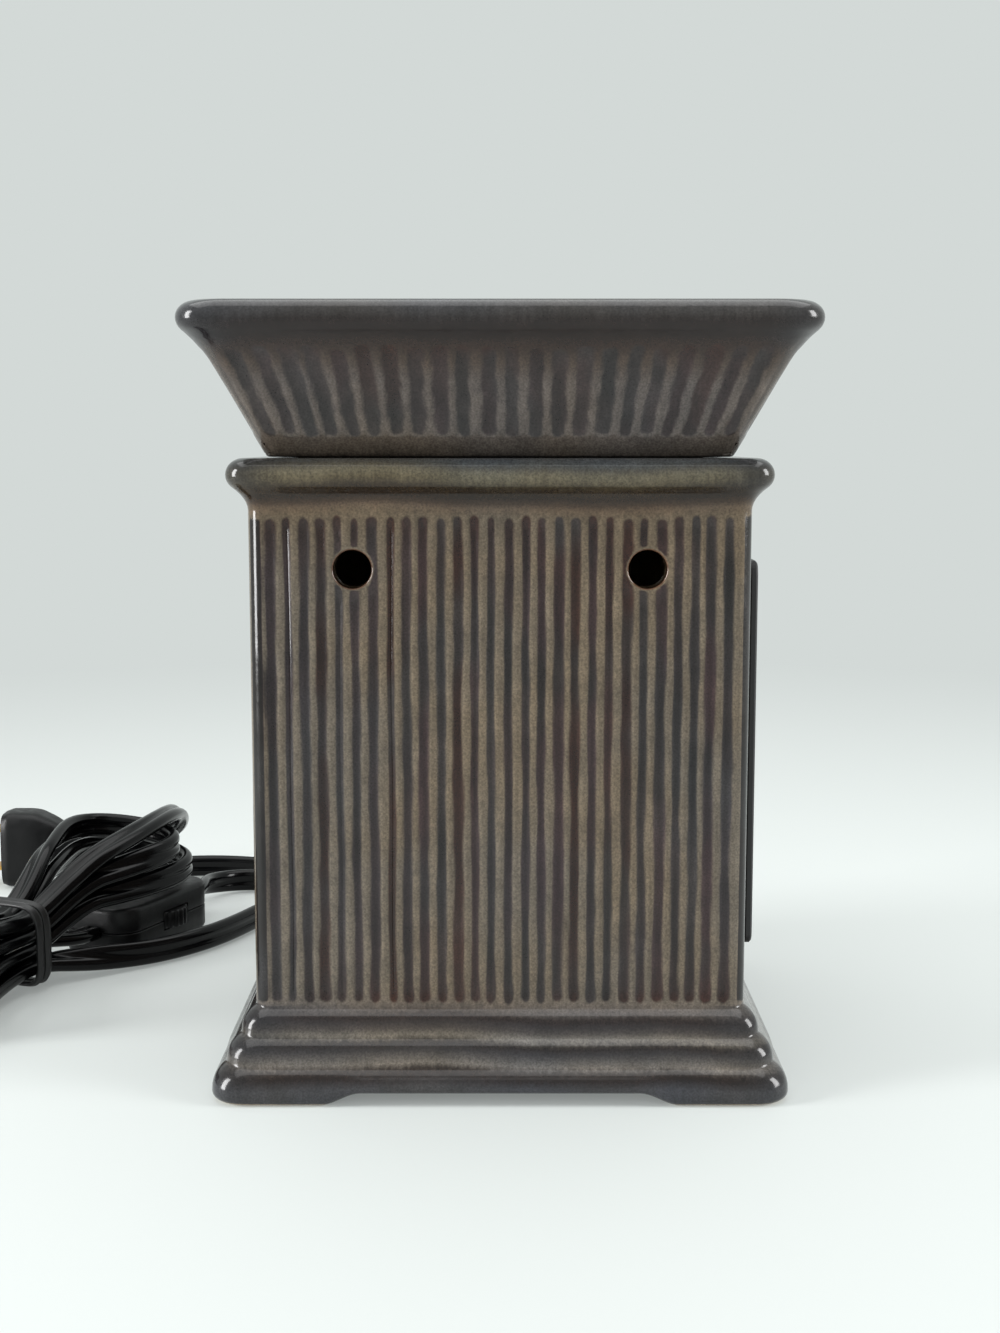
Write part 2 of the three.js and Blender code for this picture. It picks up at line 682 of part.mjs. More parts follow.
function innerRoute() {
  const low = glandHeight - 1;
  const start = glandInner - glandFlangeThickness - seat;
  const route = new THREE.CurvePath();
  const bendFoot = new THREE.Vector3(0, innerBend, low);
  const bendHead = new THREE.Vector3(0, 0, low + innerBend);
  const top = new THREE.Vector3(0, 0, pipeTop - 1);
  const corner = new THREE.Vector3(0, 0, low);
  const pull = 0.552;
  route.add(new THREE.LineCurve3(new THREE.Vector3(0, start, low), bendFoot));
  const leave = bendFoot.clone().lerp(corner, pull);
  const arrive = bendHead.clone().lerp(corner, pull);
  route.add(new THREE.CubicBezierCurve3(bendFoot, leave, arrive, bendHead));
  route.add(new THREE.LineCurve3(bendHead, top));
  return route.getSpacedPoints(24);
}

const innerSection = new THREE.Shape().absarc(0, 0, innerCord / 2, 0, 2 * Math.PI);
const innerCurve = new THREE.CatmullRomCurve3(innerRoute());
const innerSettings = { steps: 16, extrudePath: innerCurve, curveSegments: 4 };
add("inner_cord", new THREE.ExtrudeGeometry(innerSection, innerSettings), vinyl);

function glandLoft() {
  const [neck, flange, step] = [glandNeck, glandFlange, glandFlangeThickness];
  const tip = [cordWidth / 2 + 0.5, cordThickness / 2 + 0.5];
  return ovalLoft([
    [glandInner - step, ...flange], [glandInner, ...flange], [glandInner, ...neck], [glandOuter, ...neck],
    [glandOuter, ...flange], [glandOuter + step, ...flange], [glandOuter + step, ...neck], [glandEnd, ...tip],
  ], 2.6, 16);
}

add("strain_relief", glandLoft().rotateZ(Math.PI / 2).translate(0, 0, glandHeight), vinyl);

// Free cord: each point is x, y, z and how far the flat section is turned on edge, from 0 to 1

const hankAxis = new THREE.Vector2(Math.cos(hankTurn), Math.sin(hankTurn));

function fromHank([along, across, z, edge]) {
  // From the hank's own axes, along and across its runs, to the table.
  const x = hankCentre[0] + along * hankAxis.x - across * hankAxis.y;
  const y = hankCentre[1] + along * hankAxis.y + across * hankAxis.x;
  return [x, y, z, edge];
}

function splinePoint(points, place) {
  // A smooth curve drawn by its hand points: it starts and ends on the first and the last of them.
  const last = points.length - 1;
  const mirrored = (end, inner) => points[end].map((value, axis) => 2 * value - points[inner][axis]);
  const hand = (i) => (i < 0 ? mirrored(0, 1) : i > last ? mirrored(last, last - 1) : points[i]);
  const i = Math.min(Math.floor(place), last - 1);
  const f = place - i;
  const weights = [(1 - f) ** 3, 3 * f ** 3 - 6 * f ** 2 + 4, 3 * f + 3 * f ** 2 - 3 * f ** 3 + 1, f ** 3];
  const blend = (axis) => weights.reduce((sum, weight, k) => sum + weight * hand(i - 1 + k)[axis], 0) / 6;
  return [0, 1, 2, 3].map(blend);
}

function routePoints(points, steps) {
  // Steps along the curve, closer where it bends.
  const fine = 20 * steps;
  const spans = points.length - 1;
  const places = Array.from({ length: fine + 1 }, (_, i) => splinePoint(points, (i / fine) * spans));
  const line = places.map(([x, y, z]) => new THREE.Vector3(x, y, z));
  const spent = [0];
  for (let i = 1; i <= fine; i++) {
    const run = line[i].clone().sub(line[i - 1]);
    const turn = i < fine ? run.angleTo(line[i + 1].clone().sub(line[i])) : 0;
    spent.push(spent[i - 1] + run.length() + bendWeight * turn);
  }
  return Array.from({ length: steps + 1 }, (_, i) => {
    const reached = i < steps ? spent.findIndex((value) => value >= (spent[fine] * i) / steps) : fine;
    return { point: line[reached], edge: places[reached][3] };
  });
}

function cordRings(route, sides, width = cordWidth, thickness = cordThickness) {
  // Flat oval sections square to the route.
  return route.map(({ point, edge }, i) => {
    const before = route[Math.max(i - 1, 0)].point;
    const after = route[Math.min(i + 1, route.length - 1)].point;
    const along = after.clone().sub(before).normalize();
    const level = new THREE.Vector3(0, 0, 1).cross(along).normalize();
    const wide = level.applyAxisAngle(along, (edge * Math.PI) / 2);
    const thin = along.clone().cross(wide);
    return Array.from({ length: sides }, (_, j) => {
      const angle = (j / sides) * 2 * Math.PI;
      const p = point.clone().addScaledVector(wide, (width / 2) * Math.cos(angle));
      return p.addScaledVector(thin, (thickness / 2) * Math.sin(angle));
    });
  });
}

const switchStart = 32; // along the hank's axis from the tie
const switchAcross = -2.5;
const switchEnd = switchStart + switchLength;
const switchMiddle = switchHeight / 2 + seat;
const flatHeight = cordWidth / 2 + 0.4; // middle of a cord that lies on its edge
const joint = 0.5; // between the ends of two stretches of cord
const bendWeight = 22; // length of straight cord that counts as much as one radian of bend

// From the strain relief round the back, through the tie to a fold, back through the tie,
// along the front of the switch and round into its far end
const leadPoints = [
  [0, glandEnd + fit, glandHeight, 0], [0, glandEnd + 10, glandHeight, 0], [-3, 113, 5, 0.5],
  [-17, 124, flatHeight, 1], [-35, 127.5, flatHeight, 1], [-54, 132, flatHeight, 1],
  [-72, 140.5, flatHeight, 1], [-91, 147, flatHeight, 1], [-109, 145.5, flatHeight, 1],
  [-122, 136.5, flatHeight, 1], [-130, 122.5, flatHeight, 1], [-135, 107.5, flatHeight, 1],
  ...[
    [60, 36, flatHeight, 1], [34, 29.5, flatHeight, 1], [18, 16.5, 5, 0.7], [8, 6.4, 5.8, 0.1],
    [0, hankWaist, 5.9, 0], [-16, 6, 5.2, 0.4], [-31, 12.5, 4.4, 0.8], [-46, 17.2, flatHeight, 1],
    [-58.2, 12.2, flatHeight, 1], [-63.2, 0, flatHeight, 1], [-58.2, -12.2, flatHeight, 1],
    [-46, -17.2, flatHeight, 1], [-31, -12.5, 4.4, 0.8], [-16, -6, 5.2, 0.4], [0, -hankWaist, 5.9, 0],
    [8, -6.2, 5.8, 0.1], [18, -13.6, 4.9, 0.7], [30, -21, flatHeight, 1], [41, -26, flatHeight, 1],
    [54, -29, flatHeight, 1], [68, -29.5, flatHeight, 1], [84, -28.5, flatHeight, 1],
    [101, -27.8, flatHeight, 1], [113.2, -23.2, flatHeight, 1], [118.2, -11, flatHeight, 1],
    [113.2, 1, flatHeight, 1], [101, 5, 4.8, 0.8], [92, 1, 6.6, 0.4],
    [switchEnd + 8, switchAcross + 0.1, switchMiddle, 0], [switchEnd + fit, switchAcross, switchMiddle, 0],
  ].map(fromHank),
];

function hankPoint(angle) {
  // One place on the dumbbell: a long loop, drawn in at the tie, that climbs a layer on the switch side.
  const turns = (angle + Math.PI / 2) / (2 * Math.PI);
  const loop = Math.floor(turns);
  const layer = loop - 1 + THREE.MathUtils.smoothstep(turns - loop, 0, 0.5);
  const ahead = Math.cos(angle);
  const along = ahead * (ahead > 0 ? hankReach - hankReachStep * loop : hankBack);
  const bow = hankWaist / hankBow;
  const across = hankBow * Math.sin(angle) * (bow + (1 - bow) * ahead ** 2);
  const away = Math.abs(along);
  const tipHeight = ahead > 0 ? hankReachHeight : hankBackHeight;
  const rise = THREE.MathUtils.smoothstep(away, 0, hankRiseRun);
  const spread = THREE.MathUtils.smoothstep(away, 0, hankFanRun);
  const edge = THREE.MathUtils.smoothstep(away, 0, hankEdgeRun);
  const height = THREE.MathUtils.lerp(hankWaistHeight, tipHeight, rise);
  const step = THREE.MathUtils.lerp(hankWaistStep, hankTipStep, spread);
  return fromHank([along, across, height + layer * step, edge]);
}

function hankRoute() {
  const stop = 2 * Math.PI * hankLoops - hankStop;
  const steps = Math.round((hankStepsPerLoop * (stop - hankStart)) / (2 * Math.PI));
  return Array.from({ length: steps + 1 }, (_, i) => {
    const [x, y, z, edge] = hankPoint(hankStart + (i / steps) * (stop - hankStart));
    return { point: new THREE.Vector3(x, y, z), edge };
  });
}

function leastGap(rings, apart) {
  // Smallest distance between skin points of rings that are not neighbours along the cord.
  let least = Infinity;
  for (let i = 0; i < rings.length; i++) {
    for (let j = i + apart; j < rings.length; j++) {
      for (const a of rings[i]) {
        for (const b of rings[j]) least = Math.min(least, a.distanceTo(b));
      }
    }
  }
  return least;
}

function ahead(from, to, distance) {
  // A point past the end of a run, straight on from it.
  const step = to.clone().sub(from).normalize().multiplyScalar(distance);
  const p = to.clone().add(step);
  return [p.x, p.y, p.z];
}

const loops = hankRoute();
const loopRings = cordRings(loops, 6);
console.log(`hank: least gap to itself ${leastGap(cordRings(loops, 12), 8).toFixed(2)} mm`);
add("cord_hank", loftRings(loopRings), vinyl);

const lead = 10; // straight run on to the first loop and off the last one
const hankIn = [lead, joint].map((distance) => ahead(loops[1].point, loops[0].point, distance));
const hankOut = [joint, lead].map((distance) => ahead(loops.at(-2).point, loops.at(-1).point, distance));
const linkPoints = [
  ...[
    [switchStart - fit, switchAcross, switchMiddle, 0], [switchStart - 7, switchAcross, switchMiddle, 0],
    [17, 0.5, 8.8, 0],
  ].map(fromHank),
  ...hankIn.map((p) => [...p, loops[0].edge]),
];
const plugEntry = [-135, 136, plugHalf[0] + seat];
const tailPoints = [
  ...hankOut.map((p) => [...p, loops.at(-1).edge]),
  ...[
    [44, -11, 35, 0.2], [60, -8.5, 36.4, 0], [75, -2.5, 34.4, 0.2], [88, 5, 29.4, 0.6], [99, 14.5, 23.8, 0.9],
    [106, 26, 17.6, 1],
  ].map(fromHank),
  [plugEntry[0] + 12, plugEntry[1], plugEntry[2], 1], [plugEntry[0] + fit, plugEntry[1], plugEntry[2], 1],
];
add("cord_lead", loftRings(cordRings(routePoints(leadPoints, 52), 8)), vinyl);
add("cord_link", loftRings(cordRings(routePoints(linkPoints, 8), 8)), vinyl);
add("cord_tail", loftRings(cordRings(routePoints(tailPoints, 14), 8)), vinyl);

// Tie round the waist of the hank, two turns of a flat strip

function tieRings() {
  const squareness = 0.45;
  const bulge = (value) => Math.sign(value) * Math.abs(value) ** squareness;
  const steps = 24 * tieTurns;
  return Array.from({ length: steps + 1 }, (_, i) => {
    const angle = ((2 * Math.PI * i) / steps) * tieTurns - Math.PI / 2;
    const along = (i / steps - 0.5) * tiePitch * tieTurns;
    const [cosine, sine] = [bulge(Math.cos(angle)), bulge(Math.sin(angle))];
    const outline = (grow) => [(tieHalf[0] + grow) * cosine, (tieHalf[1] + grow) * sine];
    const [inner, outer] = [outline(0), outline(tieStrip[1])];
    const corner = (side, [across, up]) => {
      const [x, y, z] = fromHank([along + (side * tieStrip[0]) / 2, across, tieHeight + up, 0]);
      return new THREE.Vector3(x, y, z);
    };
    return [corner(1, inner), corner(1, outer), corner(-1, outer), corner(-1, inner)];
  });
}

add("twist_tie", loftRings(tieRings()), tieFinish);

// In-line switch

function switchHalf(bottom, top) {
  const outline = roundedRectangle(switchLength, switchWidth, switchCorner);
  const middle = switchHeight / 2;
  const wheelHalf = wheelThickness / 2 + fit;
  const wheelRoom = rod(wheelRadius + fit, middle - wheelHalf, middle + wheelHalf, 28);
  const axleHole = rod(axleRadius + fit, axleEnd - fit, switchHeight - axleEnd + fit, 14);
  const [headRadius, headHeight] = switchScrewHead;
  const [shankRadius, shankLength] = switchScrewShank;
  const headHole = rod(headRadius + fit, -1, headHeight + fit + seat, 16);
  const shankHole = rod(shankRadius + fit, 0, headHeight + shankLength + 2 * fit, 12);
  return cut(slab(outline, bottom, top, switchBevel), [
    wheelRoom.translate(wheelAlong, wheelAcross, 0),
    axleHole.translate(wheelAlong, wheelAcross, 0),
    headHole.translate(switchScrewAlong, 0, 0),
    shankHole.translate(switchScrewAlong, 0, 0),
  ]);
}

function thumbWheel() {
  const outline = new THREE.Shape();
  for (let i = 0; i < 2 * wheelTeeth; i++) {
    const angle = (i / wheelTeeth) * Math.PI;
    const radius = i % 2 ? wheelRadius : wheelRadius - 0.5;
    const corner = [radius * Math.cos(angle), radius * Math.sin(angle)];
    if (i === 0) outline.moveTo(...corner);
    else outline.lineTo(...corner);
  }
  const middle = switchHeight / 2;
  const blank = slab(outline, middle - wheelThickness / 2, middle + wheelThickness / 2);
  return cut(blank, [rod(axleRadius + fit, 0, switchHeight, 14)]).translate(wheelAlong, wheelAcross, 0);
}

function switchScrew() {
  const [headRadius, headHeight] = switchScrewHead;
  const [shankRadius, shankLength] = switchScrewShank;
  const path = new THREE.Path().moveTo(0, seat).lineTo(headRadius, seat);
  path.lineTo(headRadius, seat + headHeight).lineTo(shankRadius, seat + headHeight);
  path.lineTo(shankRadius, headHeight + shankLength);
  return turned(path.lineTo(0, headHeight + shankLength), 12).translate(switchScrewAlong, 0, 0);
}

const inlineSwitch = new THREE.Group();
const [switchX, switchY] = fromHank([(switchStart + switchEnd) / 2, switchAcross, 0, 0]);
inlineSwitch.position.set(switchX, switchY, seat);
inlineSwitch.rotation.z = hankTurn;
warmer.add(inlineSwitch);
add("switch_base", switchHalf(0, switchHeight / 2 - seat / 2), vinyl, inlineSwitch);
add("switch_cover", switchHalf(switchHeight / 2 + seat / 2, switchHeight), vinyl, inlineSwitch);
add("switch_wheel", thumbWheel(), phenolic, inlineSwitch);
const axle = rod(axleRadius, axleEnd, switchHeight - axleEnd, 12).translate(wheelAlong, wheelAcross, 0);
add("switch_axle", axle, steel, inlineSwitch);
add("switch_screw", switchScrew(), steel, inlineSwitch);

// Plug, lying on its edge with the blades pointing to -X

function bladeShape() {
  const half = bladeWidth / 2;
  const shape = new THREE.Shape().moveTo(-bladeRoot, -half).lineTo(bladeLength - 2, -half);
  shape.lineTo(bladeLength, 1 - half).lineTo(bladeLength, half - 1).lineTo(bladeLength - 2, half);
  shape.lineTo(-bladeRoot, half);
  const hole = new THREE.Path().absarc(bladeLength - 4, 0, bladeHole, 0, 2 * Math.PI, true);
  shape.holes.push(hole);
  return shape;
}

function bladePocket(side) {
  const room = new THREE.BoxGeometry(2 * (bladeRoot + fit), bladeWidth + 2 * fit, bladeThickness + 2 * fit);
  return room.translate(plugLength, 0, (side * bladeGap) / 2);
}

function plugLoft() {
  const [wide, thin] = plugHalf;
  const [noseWide, noseThin] = plugNose;
  return ovalLoft([
    [0, noseThin, noseWide], [6, noseThin + 0.4, noseWide + 0.6], [12, thin - 1.2, wide - 2.6],
    [17, thin - 0.2, wide - 0.3], [20, thin, wide], [plugLength - 1.2, thin, wide],
    [plugLength, thin - 1, wide - 1],
  ], 4.5, 24);
}

const plug = new THREE.Group();
plug.position.set(...plugEntry);
plug.rotation.z = Math.PI;
warmer.add(plug);
add("plug_body", cut(plugLoft(), [bladePocket(-1), bladePocket(1)]), vinyl, plug);
for (const [name, side] of [["plug_blade_lower", -1], ["plug_blade_upper", 1]]) {
  const blade = slab(bladeShape(), -bladeThickness / 2, bladeThickness / 2, 0, 5);
  add(name, blade.translate(plugLength, 0, (side * bladeGap) / 2), brass, plug);
}

export default warmer;
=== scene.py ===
"""Looks of the electric wax warmer: glazed fluted stoneware, a globe bulb, a black plate and a tied cord.

Lengths are in millimetres and turn into metres where a mesh is made. Colours are written as seen on screen.
"""
import math
from collections import namedtuple

import bpy
import numpy as np
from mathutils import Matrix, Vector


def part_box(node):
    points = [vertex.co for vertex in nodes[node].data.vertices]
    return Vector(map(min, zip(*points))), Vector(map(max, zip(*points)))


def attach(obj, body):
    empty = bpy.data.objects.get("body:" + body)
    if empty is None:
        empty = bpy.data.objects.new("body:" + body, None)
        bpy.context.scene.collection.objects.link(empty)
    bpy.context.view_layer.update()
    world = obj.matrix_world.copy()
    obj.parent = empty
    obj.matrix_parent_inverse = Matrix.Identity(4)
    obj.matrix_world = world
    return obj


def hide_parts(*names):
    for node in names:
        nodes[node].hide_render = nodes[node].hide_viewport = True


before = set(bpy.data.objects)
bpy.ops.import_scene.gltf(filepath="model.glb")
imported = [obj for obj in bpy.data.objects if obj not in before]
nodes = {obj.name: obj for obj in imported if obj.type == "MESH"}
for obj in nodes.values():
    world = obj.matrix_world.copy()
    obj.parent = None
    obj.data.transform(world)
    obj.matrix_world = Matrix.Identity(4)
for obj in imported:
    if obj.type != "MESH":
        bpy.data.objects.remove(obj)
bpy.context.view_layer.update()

MM = 0.001
AT_45 = math.sqrt(0.5)

# Housing
BODY_HALF = 55.0
BODY_CORNER = 4.0
BODY_WALL = 5.0
CORNER_OPENING = 0.35
BASE_HALF = 64.4
BASE_HEIGHT = 20.0
BASE_STEPS = 3
PLINTH_HEIGHT = 8.4
BEAD_SHARE = 0.78
COVE_SHARE = 0.17
FOOT_ROUND = 2.0
FOOT_LENGTH = 24.6
FOOT_OGEE = 9.0
ARCH_HEIGHT = 2.8
ARCH_REACH = 0.75 * PLINTH_HEIGHT
SKIRT_HALF = 57.4
SKIRT_EDGE = ((0.6, 0.0), (0.0, 0.5), (-0.3, 1.0))
COLUMN_TOP = 130.6
HOUSING_TOP = 142.0
RIM_HALF = 59.4
RIM_ROLL = 3.6
MOUTH_HALF = 46.0
MOUTH_CORNER = 8.0
MOUTH_LIP = 5.0
MOUTH_ROUND = 1.0
FLOOR_BOTTOM = 22.0
FLOOR_TOP = 27.0
FLOOR_ROUND = 2.0
FLOOR_START = 20.0
VENT_OFFSET = 32.1
VENT_HEIGHT = 118.0
VENT_RADIUS = 4.1
VENT_LIP = 0.8
VENT_RIM = VENT_RADIUS + VENT_LIP
VENT_FADE = 2.6
VENT_STOP = (0.3, 0.5)
VENT_PROUD = 0.05
VENT_SIDES = (0, 2)
NOTCH_HALF = 4.55
NOTCH_TOP = 8.95
NOTCH_ROUND = 1.2
PIPE_HOLE = 5.15
CUT_PAST = 2.0
HOLE_SIDES = 48
PIPE_SIDES = 32

# Flutes: the rows of the housing's wall lie close together at the flutes' ends and round the vents
FLUTE_COUNT = 28
FLUTE_PITCH = 3.7
FLUTE_WIDTH = 2.4
FLUTE_DEPTH = 0.7
FLUTE_LOW = 20.6
FLUTE_HIGH = 129.6
FLUTE_END = 1.4
FLUTE_FADE = 3.4
FLUTE_FLAT = (0.3, 1.05)
FLUTE_EASE = 0.3
FLUTE_OFFSETS = (-1.05, -0.6, 0.0, 0.6, 1.05)
SWAY_RUN = 9.0
FLUTE_SEED = 7
DISH_FLUTE_SEED = 11
CORNER_PLACES = 4
FAR_PAST_END = 4.0
END_ROWS = 7
VENT_ROWS = (-8.0, 7.5, 16)
MIDDLE_ROWS = (7.0, -12.0, 15)

# Wax dish
DISH_BOTTOM = 142.2
DISH_TOP = 175.0
DISH_HALF = 68.3
DISH_CORNER = 8.0
DISH_BOTTOM_CORNER = 5.0
DISH_CORNER_OPENING = 0.2
DISH_ROLL = 3.6
DISH_BOTTOM_HALF = 51.3
DISH_BOTTOM_ROUND = 0.9
DISH_BOTTOM_INSET = 0.6
DISH_LOW_ROWS = (3.0, 1.0)
DISH_ROW_GAP = 0.6
DISH_WALL_NEAR = 0.5
DISH_COVE_DROP = 9.0
DISH_WALL_TOP_HALF = 62.1
DISH_WALL_DROP = 12.6
DISH_WALL = 4.8
DISH_FLOOR = 4.8
DISH_WELL_ROUND = 5.0
DISH_WELL_EDGE = (1.4, 2.6)
DISH_FOOT_DEPTH = 4.0
DISH_FOOT_WALL = 4.4
DISH_FOOT_HALF = 45.4
DISH_FOOT_EDGE = 0.5
DISH_SEAT_EDGE = 0.3
DISH_FLUTE_COUNT = 22
DISH_FLUTE_SPAN = 53.0
DISH_FLUTE_FAN = 0.73
DISH_FLUTE_WIDTH = 3.7
DISH_FLUTE_DEPTH = 0.6
DISH_FLUTE_LOW = 146.6
DISH_FLUTE_HIGH = 165.4
DISH_FLUTE_END = 1.3
DISH_FLUTE_FADE = 3.0
DISH_FLUTE_FLAT = (0.6, 1.08)
DISH_FLUTE_PITCH = 2 * DISH_FLUTE_SPAN / (DISH_FLUTE_COUNT - 1)
DISH_FLUTE_MIDDLE = (DISH_FLUTE_LOW + DISH_FLUTE_HIGH) / 2
DISH_SLOPE = (DISH_WALL_TOP_HALF - DISH_BOTTOM_HALF) / (DISH_TOP - DISH_WALL_DROP - DISH_BOTTOM)

# Plate pad
PAD_HALF = 39.0
PAD_CORNER = 3.0
PAD_BULGE = 0.35

# Bulb
CAP_TOP = 54.7
NECK_IN_CAP = 4.6
NECK_RADIUS = 5.0
NECK_RISE = 10.0
GLOBE_RADIUS = 25.0
GLOBE_WALL = 0.8
GLOBE_FOOT_ANGLE = -68.0
GLOBE_SIDES = 56

# Cord and strain relief: the flanges are rows of place along, half width and half height
CORD_WIDTH = 7.0
CORD_THICKNESS = 3.6
CORD_VALLEY = (0.42, 0.32)
CORD_STEP = 1.5
CORD_SIDES = 24
EDGE_HEIGHT = 3.9
FIT = 0.35
INNER_BEND = 10.0
INNER_PLACES = 40
INNER_STEP = 1.0
GLAND_HEIGHT = 5.6
GLAND_END = 88.75
GLAND_RIBS = 6
GLAND_RIB = 0.32
GLAND_POWER = 2.6
GLAND_SIDES = 40
RIB_ROWS = 20
RIB_STEP = (-0.2, 0.4)
RIB_FADE = 0.04
INNER_FLANGE = ((0, 5.2, 4.2), (0.4, 5.6, 4.6), (1.6, 5.6, 4.6), (2, 5.4, 4.4), (2.01, 4.2, 3))
OUTER_FLANGE = ((0, 4.2, 3), (0.01, 5.4, 4.4), (0.4, 5.6, 4.6), (1.6, 5.6, 4.6), (2, 5.3, 4.3),
                (2.3, 4.3, 3.1))
TAPER_START = 2.6
TAPER = ((4.1, 0.55), (2.9, 0.95))

# Switch
SEAT = 0.2
SWITCH_LENGTH = 44.0
SWITCH_WIDTH = 24.0
SWITCH_HEIGHT = 14.4
SWITCH_CORNER = 7.0
SWITCH_ROUND = 1.6
SWITCH_SEAM = 0.4
SWITCH_START = 32.0
SWITCH_END = 76.0
SWITCH_ACROSS = -2.5
SWITCH_MIDDLE = 7.4
SWITCH_SCREW_ALONG = -12.0
SWITCH_SCREW_HOLE = (2.95, 2.15)
WHEEL_RADIUS = 8.0
WHEEL_THICKNESS = 5.0
WHEEL_ALONG = 2.0
WHEEL_ACROSS = -6.4
WHEEL_TEETH = 24
WHEEL_TOOTH = 0.5
TOOTH_PLACES = 8
TOOTH_STEP = (-0.6, 0.6)
WHEEL_EDGE = ((0.5, 0.0), (0.15, 0.15), (0.0, 0.5))

# Hank of cord, its tie and the plug, whose stations are place along, half width and half height
HANK_CENTRE = np.array((-131.0, 23.0))
HANK_TURN = math.radians(66)
HANK_AXIS = np.array((math.cos(HANK_TURN), math.sin(HANK_TURN)))
HANK_SIDE = np.array((-HANK_AXIS[1], HANK_AXIS[0]))
HANK_LOOPS = 3
HANK_REACH = 77.0
HANK_REACH_STEP = 7.0
HANK_BACK = 50.0
HANK_BOW = 38.0
HANK_WAIST = 3.8
HANK_WAIST_HEIGHT = 10.4
HANK_BACK_HEIGHT = 11.6
HANK_REACH_HEIGHT = 19.0
HANK_WAIST_STEP = 4.1
HANK_TIP_STEP = 7.7
HANK_RISE_RUN = 28.0
HANK_FAN_RUN = 50.0
HANK_EDGE_RUN = 60.0
HANK_START = math.pi / 2
HANK_STOP = 1.25
HANK_STEPS = 24
TIE_HALF = (9.8, 10.3)
TIE_HEIGHT = 12.6
TIE_STRIP = (2.6, 1.1)
TIE_TURNS = 2
TIE_PITCH = 3.0
TIE_STEP = 0.9
TIE_FINE = 6000
TIE_SIDES = 20
TIE_SQUARENESS = 0.45
STRIP_SQUARENESS = 0.6
TIE_WIRE = (0.3, 0.45)
PLUG_ENTRY = np.array((-135.0, 136.0, 12.6))
PLUG_STATIONS = ((0, 4, 5.4), (6, 4.4, 6), (12, 6.8, 9.8), (17, 7.8, 12.1), (20, 8, 12.4), (26.8, 8, 12.4),
                 (28, 7, 11.4))
PLUG_POWER = 4.5
PLUG_SOFT = (0.4, 3)
PLUG_SIDES = 72

# Routes of the cord, in places along and across: behind the housing on the table, the others on the hank's
# own axes. Rows of four add the height and the turn, 0 flat and 1 on edge. The fold goes out and comes back.
LEAD_BEHIND = ((-17, 124), (-35, 127.5), (-54, 132), (-72, 140.5), (-91, 147), (-109, 145.5), (-122, 136.5),
               (-130, 122.5), (-135, 107.5))
LEAD_TO_TIE = ((60, 36), (34, 29.5))
LEAD_FOLD = ((0, HANK_WAIST, 5.9, 0), (-16, 6, 5.2, 0.4), (-31, 12.5, 4.4, 0.8), (-46, 17.2, EDGE_HEIGHT, 1),
             (-58.2, 12.2, EDGE_HEIGHT, 1))
LEAD_FOLD_TIP = ((-63.2, 0),)
LEAD_FROM_TIE = ((30, -21), (41, -26), (54, -29), (68, -29.5), (84, -28.5), (101, -27.8), (113.2, -23.2),
                 (118.2, -11), (113.2, 1))
SUPPLY_TAIL = ((44, -11, 35, 0.2), (60, -8.5, 36.4, 0), (75, -2.5, 34.4, 0.2), (88, 5, 29.4, 0.6),
               (99, 14.5, 23.8, 0.9), (106, 26, 17.6, 1))
# Points that the routes are drawn with
LEAD_FINE = 3000
LOOP_FINE = 1600
LINK_FINE = 300
TAIL_FINE = 500

# Camera, floor and light: places and sizes in metres, lens and sensor in millimetres, pitch in degrees
CAMERA_PLACE = (0.0, -0.4419, 0.1455)
CAMERA_PITCH = 7.18
CAMERA_LENS = 48.2
SENSOR = 36.0
FLOOR_RADIUS = 6.0
FLOOR_SIDES = 96
FLOOR_COLOUR = (210, 215, 213)
GLOW_RUN = (0.2, 0.75)
GLOW_SHARE = (0.3, 1)
SKY_COLOUR = (211, 217, 215)
SKY_LIGHT = 0.4
# Name, place, target, size, power and whether it shows in mirrors
LIGHTS = (
    ("top_light", (0.0, 0.1, 1.2), (0, 0, 0.1), (1.6, 1.2), 12, True),
    ("front_light", (-0.1, -1.7, 0.75), (0, 0, 0.4), (2.4, 1.2), 17, False),
    ("back_light", (0.1, 1.7, 0.75), (0, 0, 0.4), (2.4, 1.2), 11, False),
    ("left_window", (-0.85, -0.25, 0.34), (0, 0, 0.3), (0.26, 0.7), 11, True),
    ("right_window", (0.9, -0.2, 0.42), (0, 0, 0.3), (0.32, 0.6), 8, True),
)

# Glaze bands: height and colour from the foot up
RIDGE = (92, 83, 71)
CLAY = (206, 188, 164)
# On the base the light line at the top of each bead is partly glaze and partly a painted reflection of the
# light above; the dark brown under the rolled rim is partly glaze and partly painted shade; the rim's top,
# 140.2 up, is painted lighter against the dish's shadow
HOUSING_BANDS = (
    (0.0, 49, 49, 52), (3.8, 52, 52, 55), (5.9, 24, 16, 14), (7.1, 36, 29, 26), (8.3, 94, 89, 84),
    (9.7, 70, 67, 65), (11.1, 44, 42, 43), (12.6, 24, 17, 15), (14.0, 96, 91, 84), (15.3, 62, 57, 54),
    (16.7, 42, 38, 38), (18.1, 28, 19, 17), (19.6, 72, 66, 62), (21.2, 88, 79, 70), (23.5, *RIDGE),
    (112.0, *RIDGE), (129.0, 87, 77, 64), (130.9, 82, 69, 56), (132.0, 54, 42, 32), (133.4, 33, 24, 17),
    (135.6, 44, 35, 24), (137.2, 76, 69, 53), (138.8, 84, 79, 65), (140.2, 62, 60, 55), (141.2, 57, 59, 59),
    (142.0, 62, 64, 65),
)
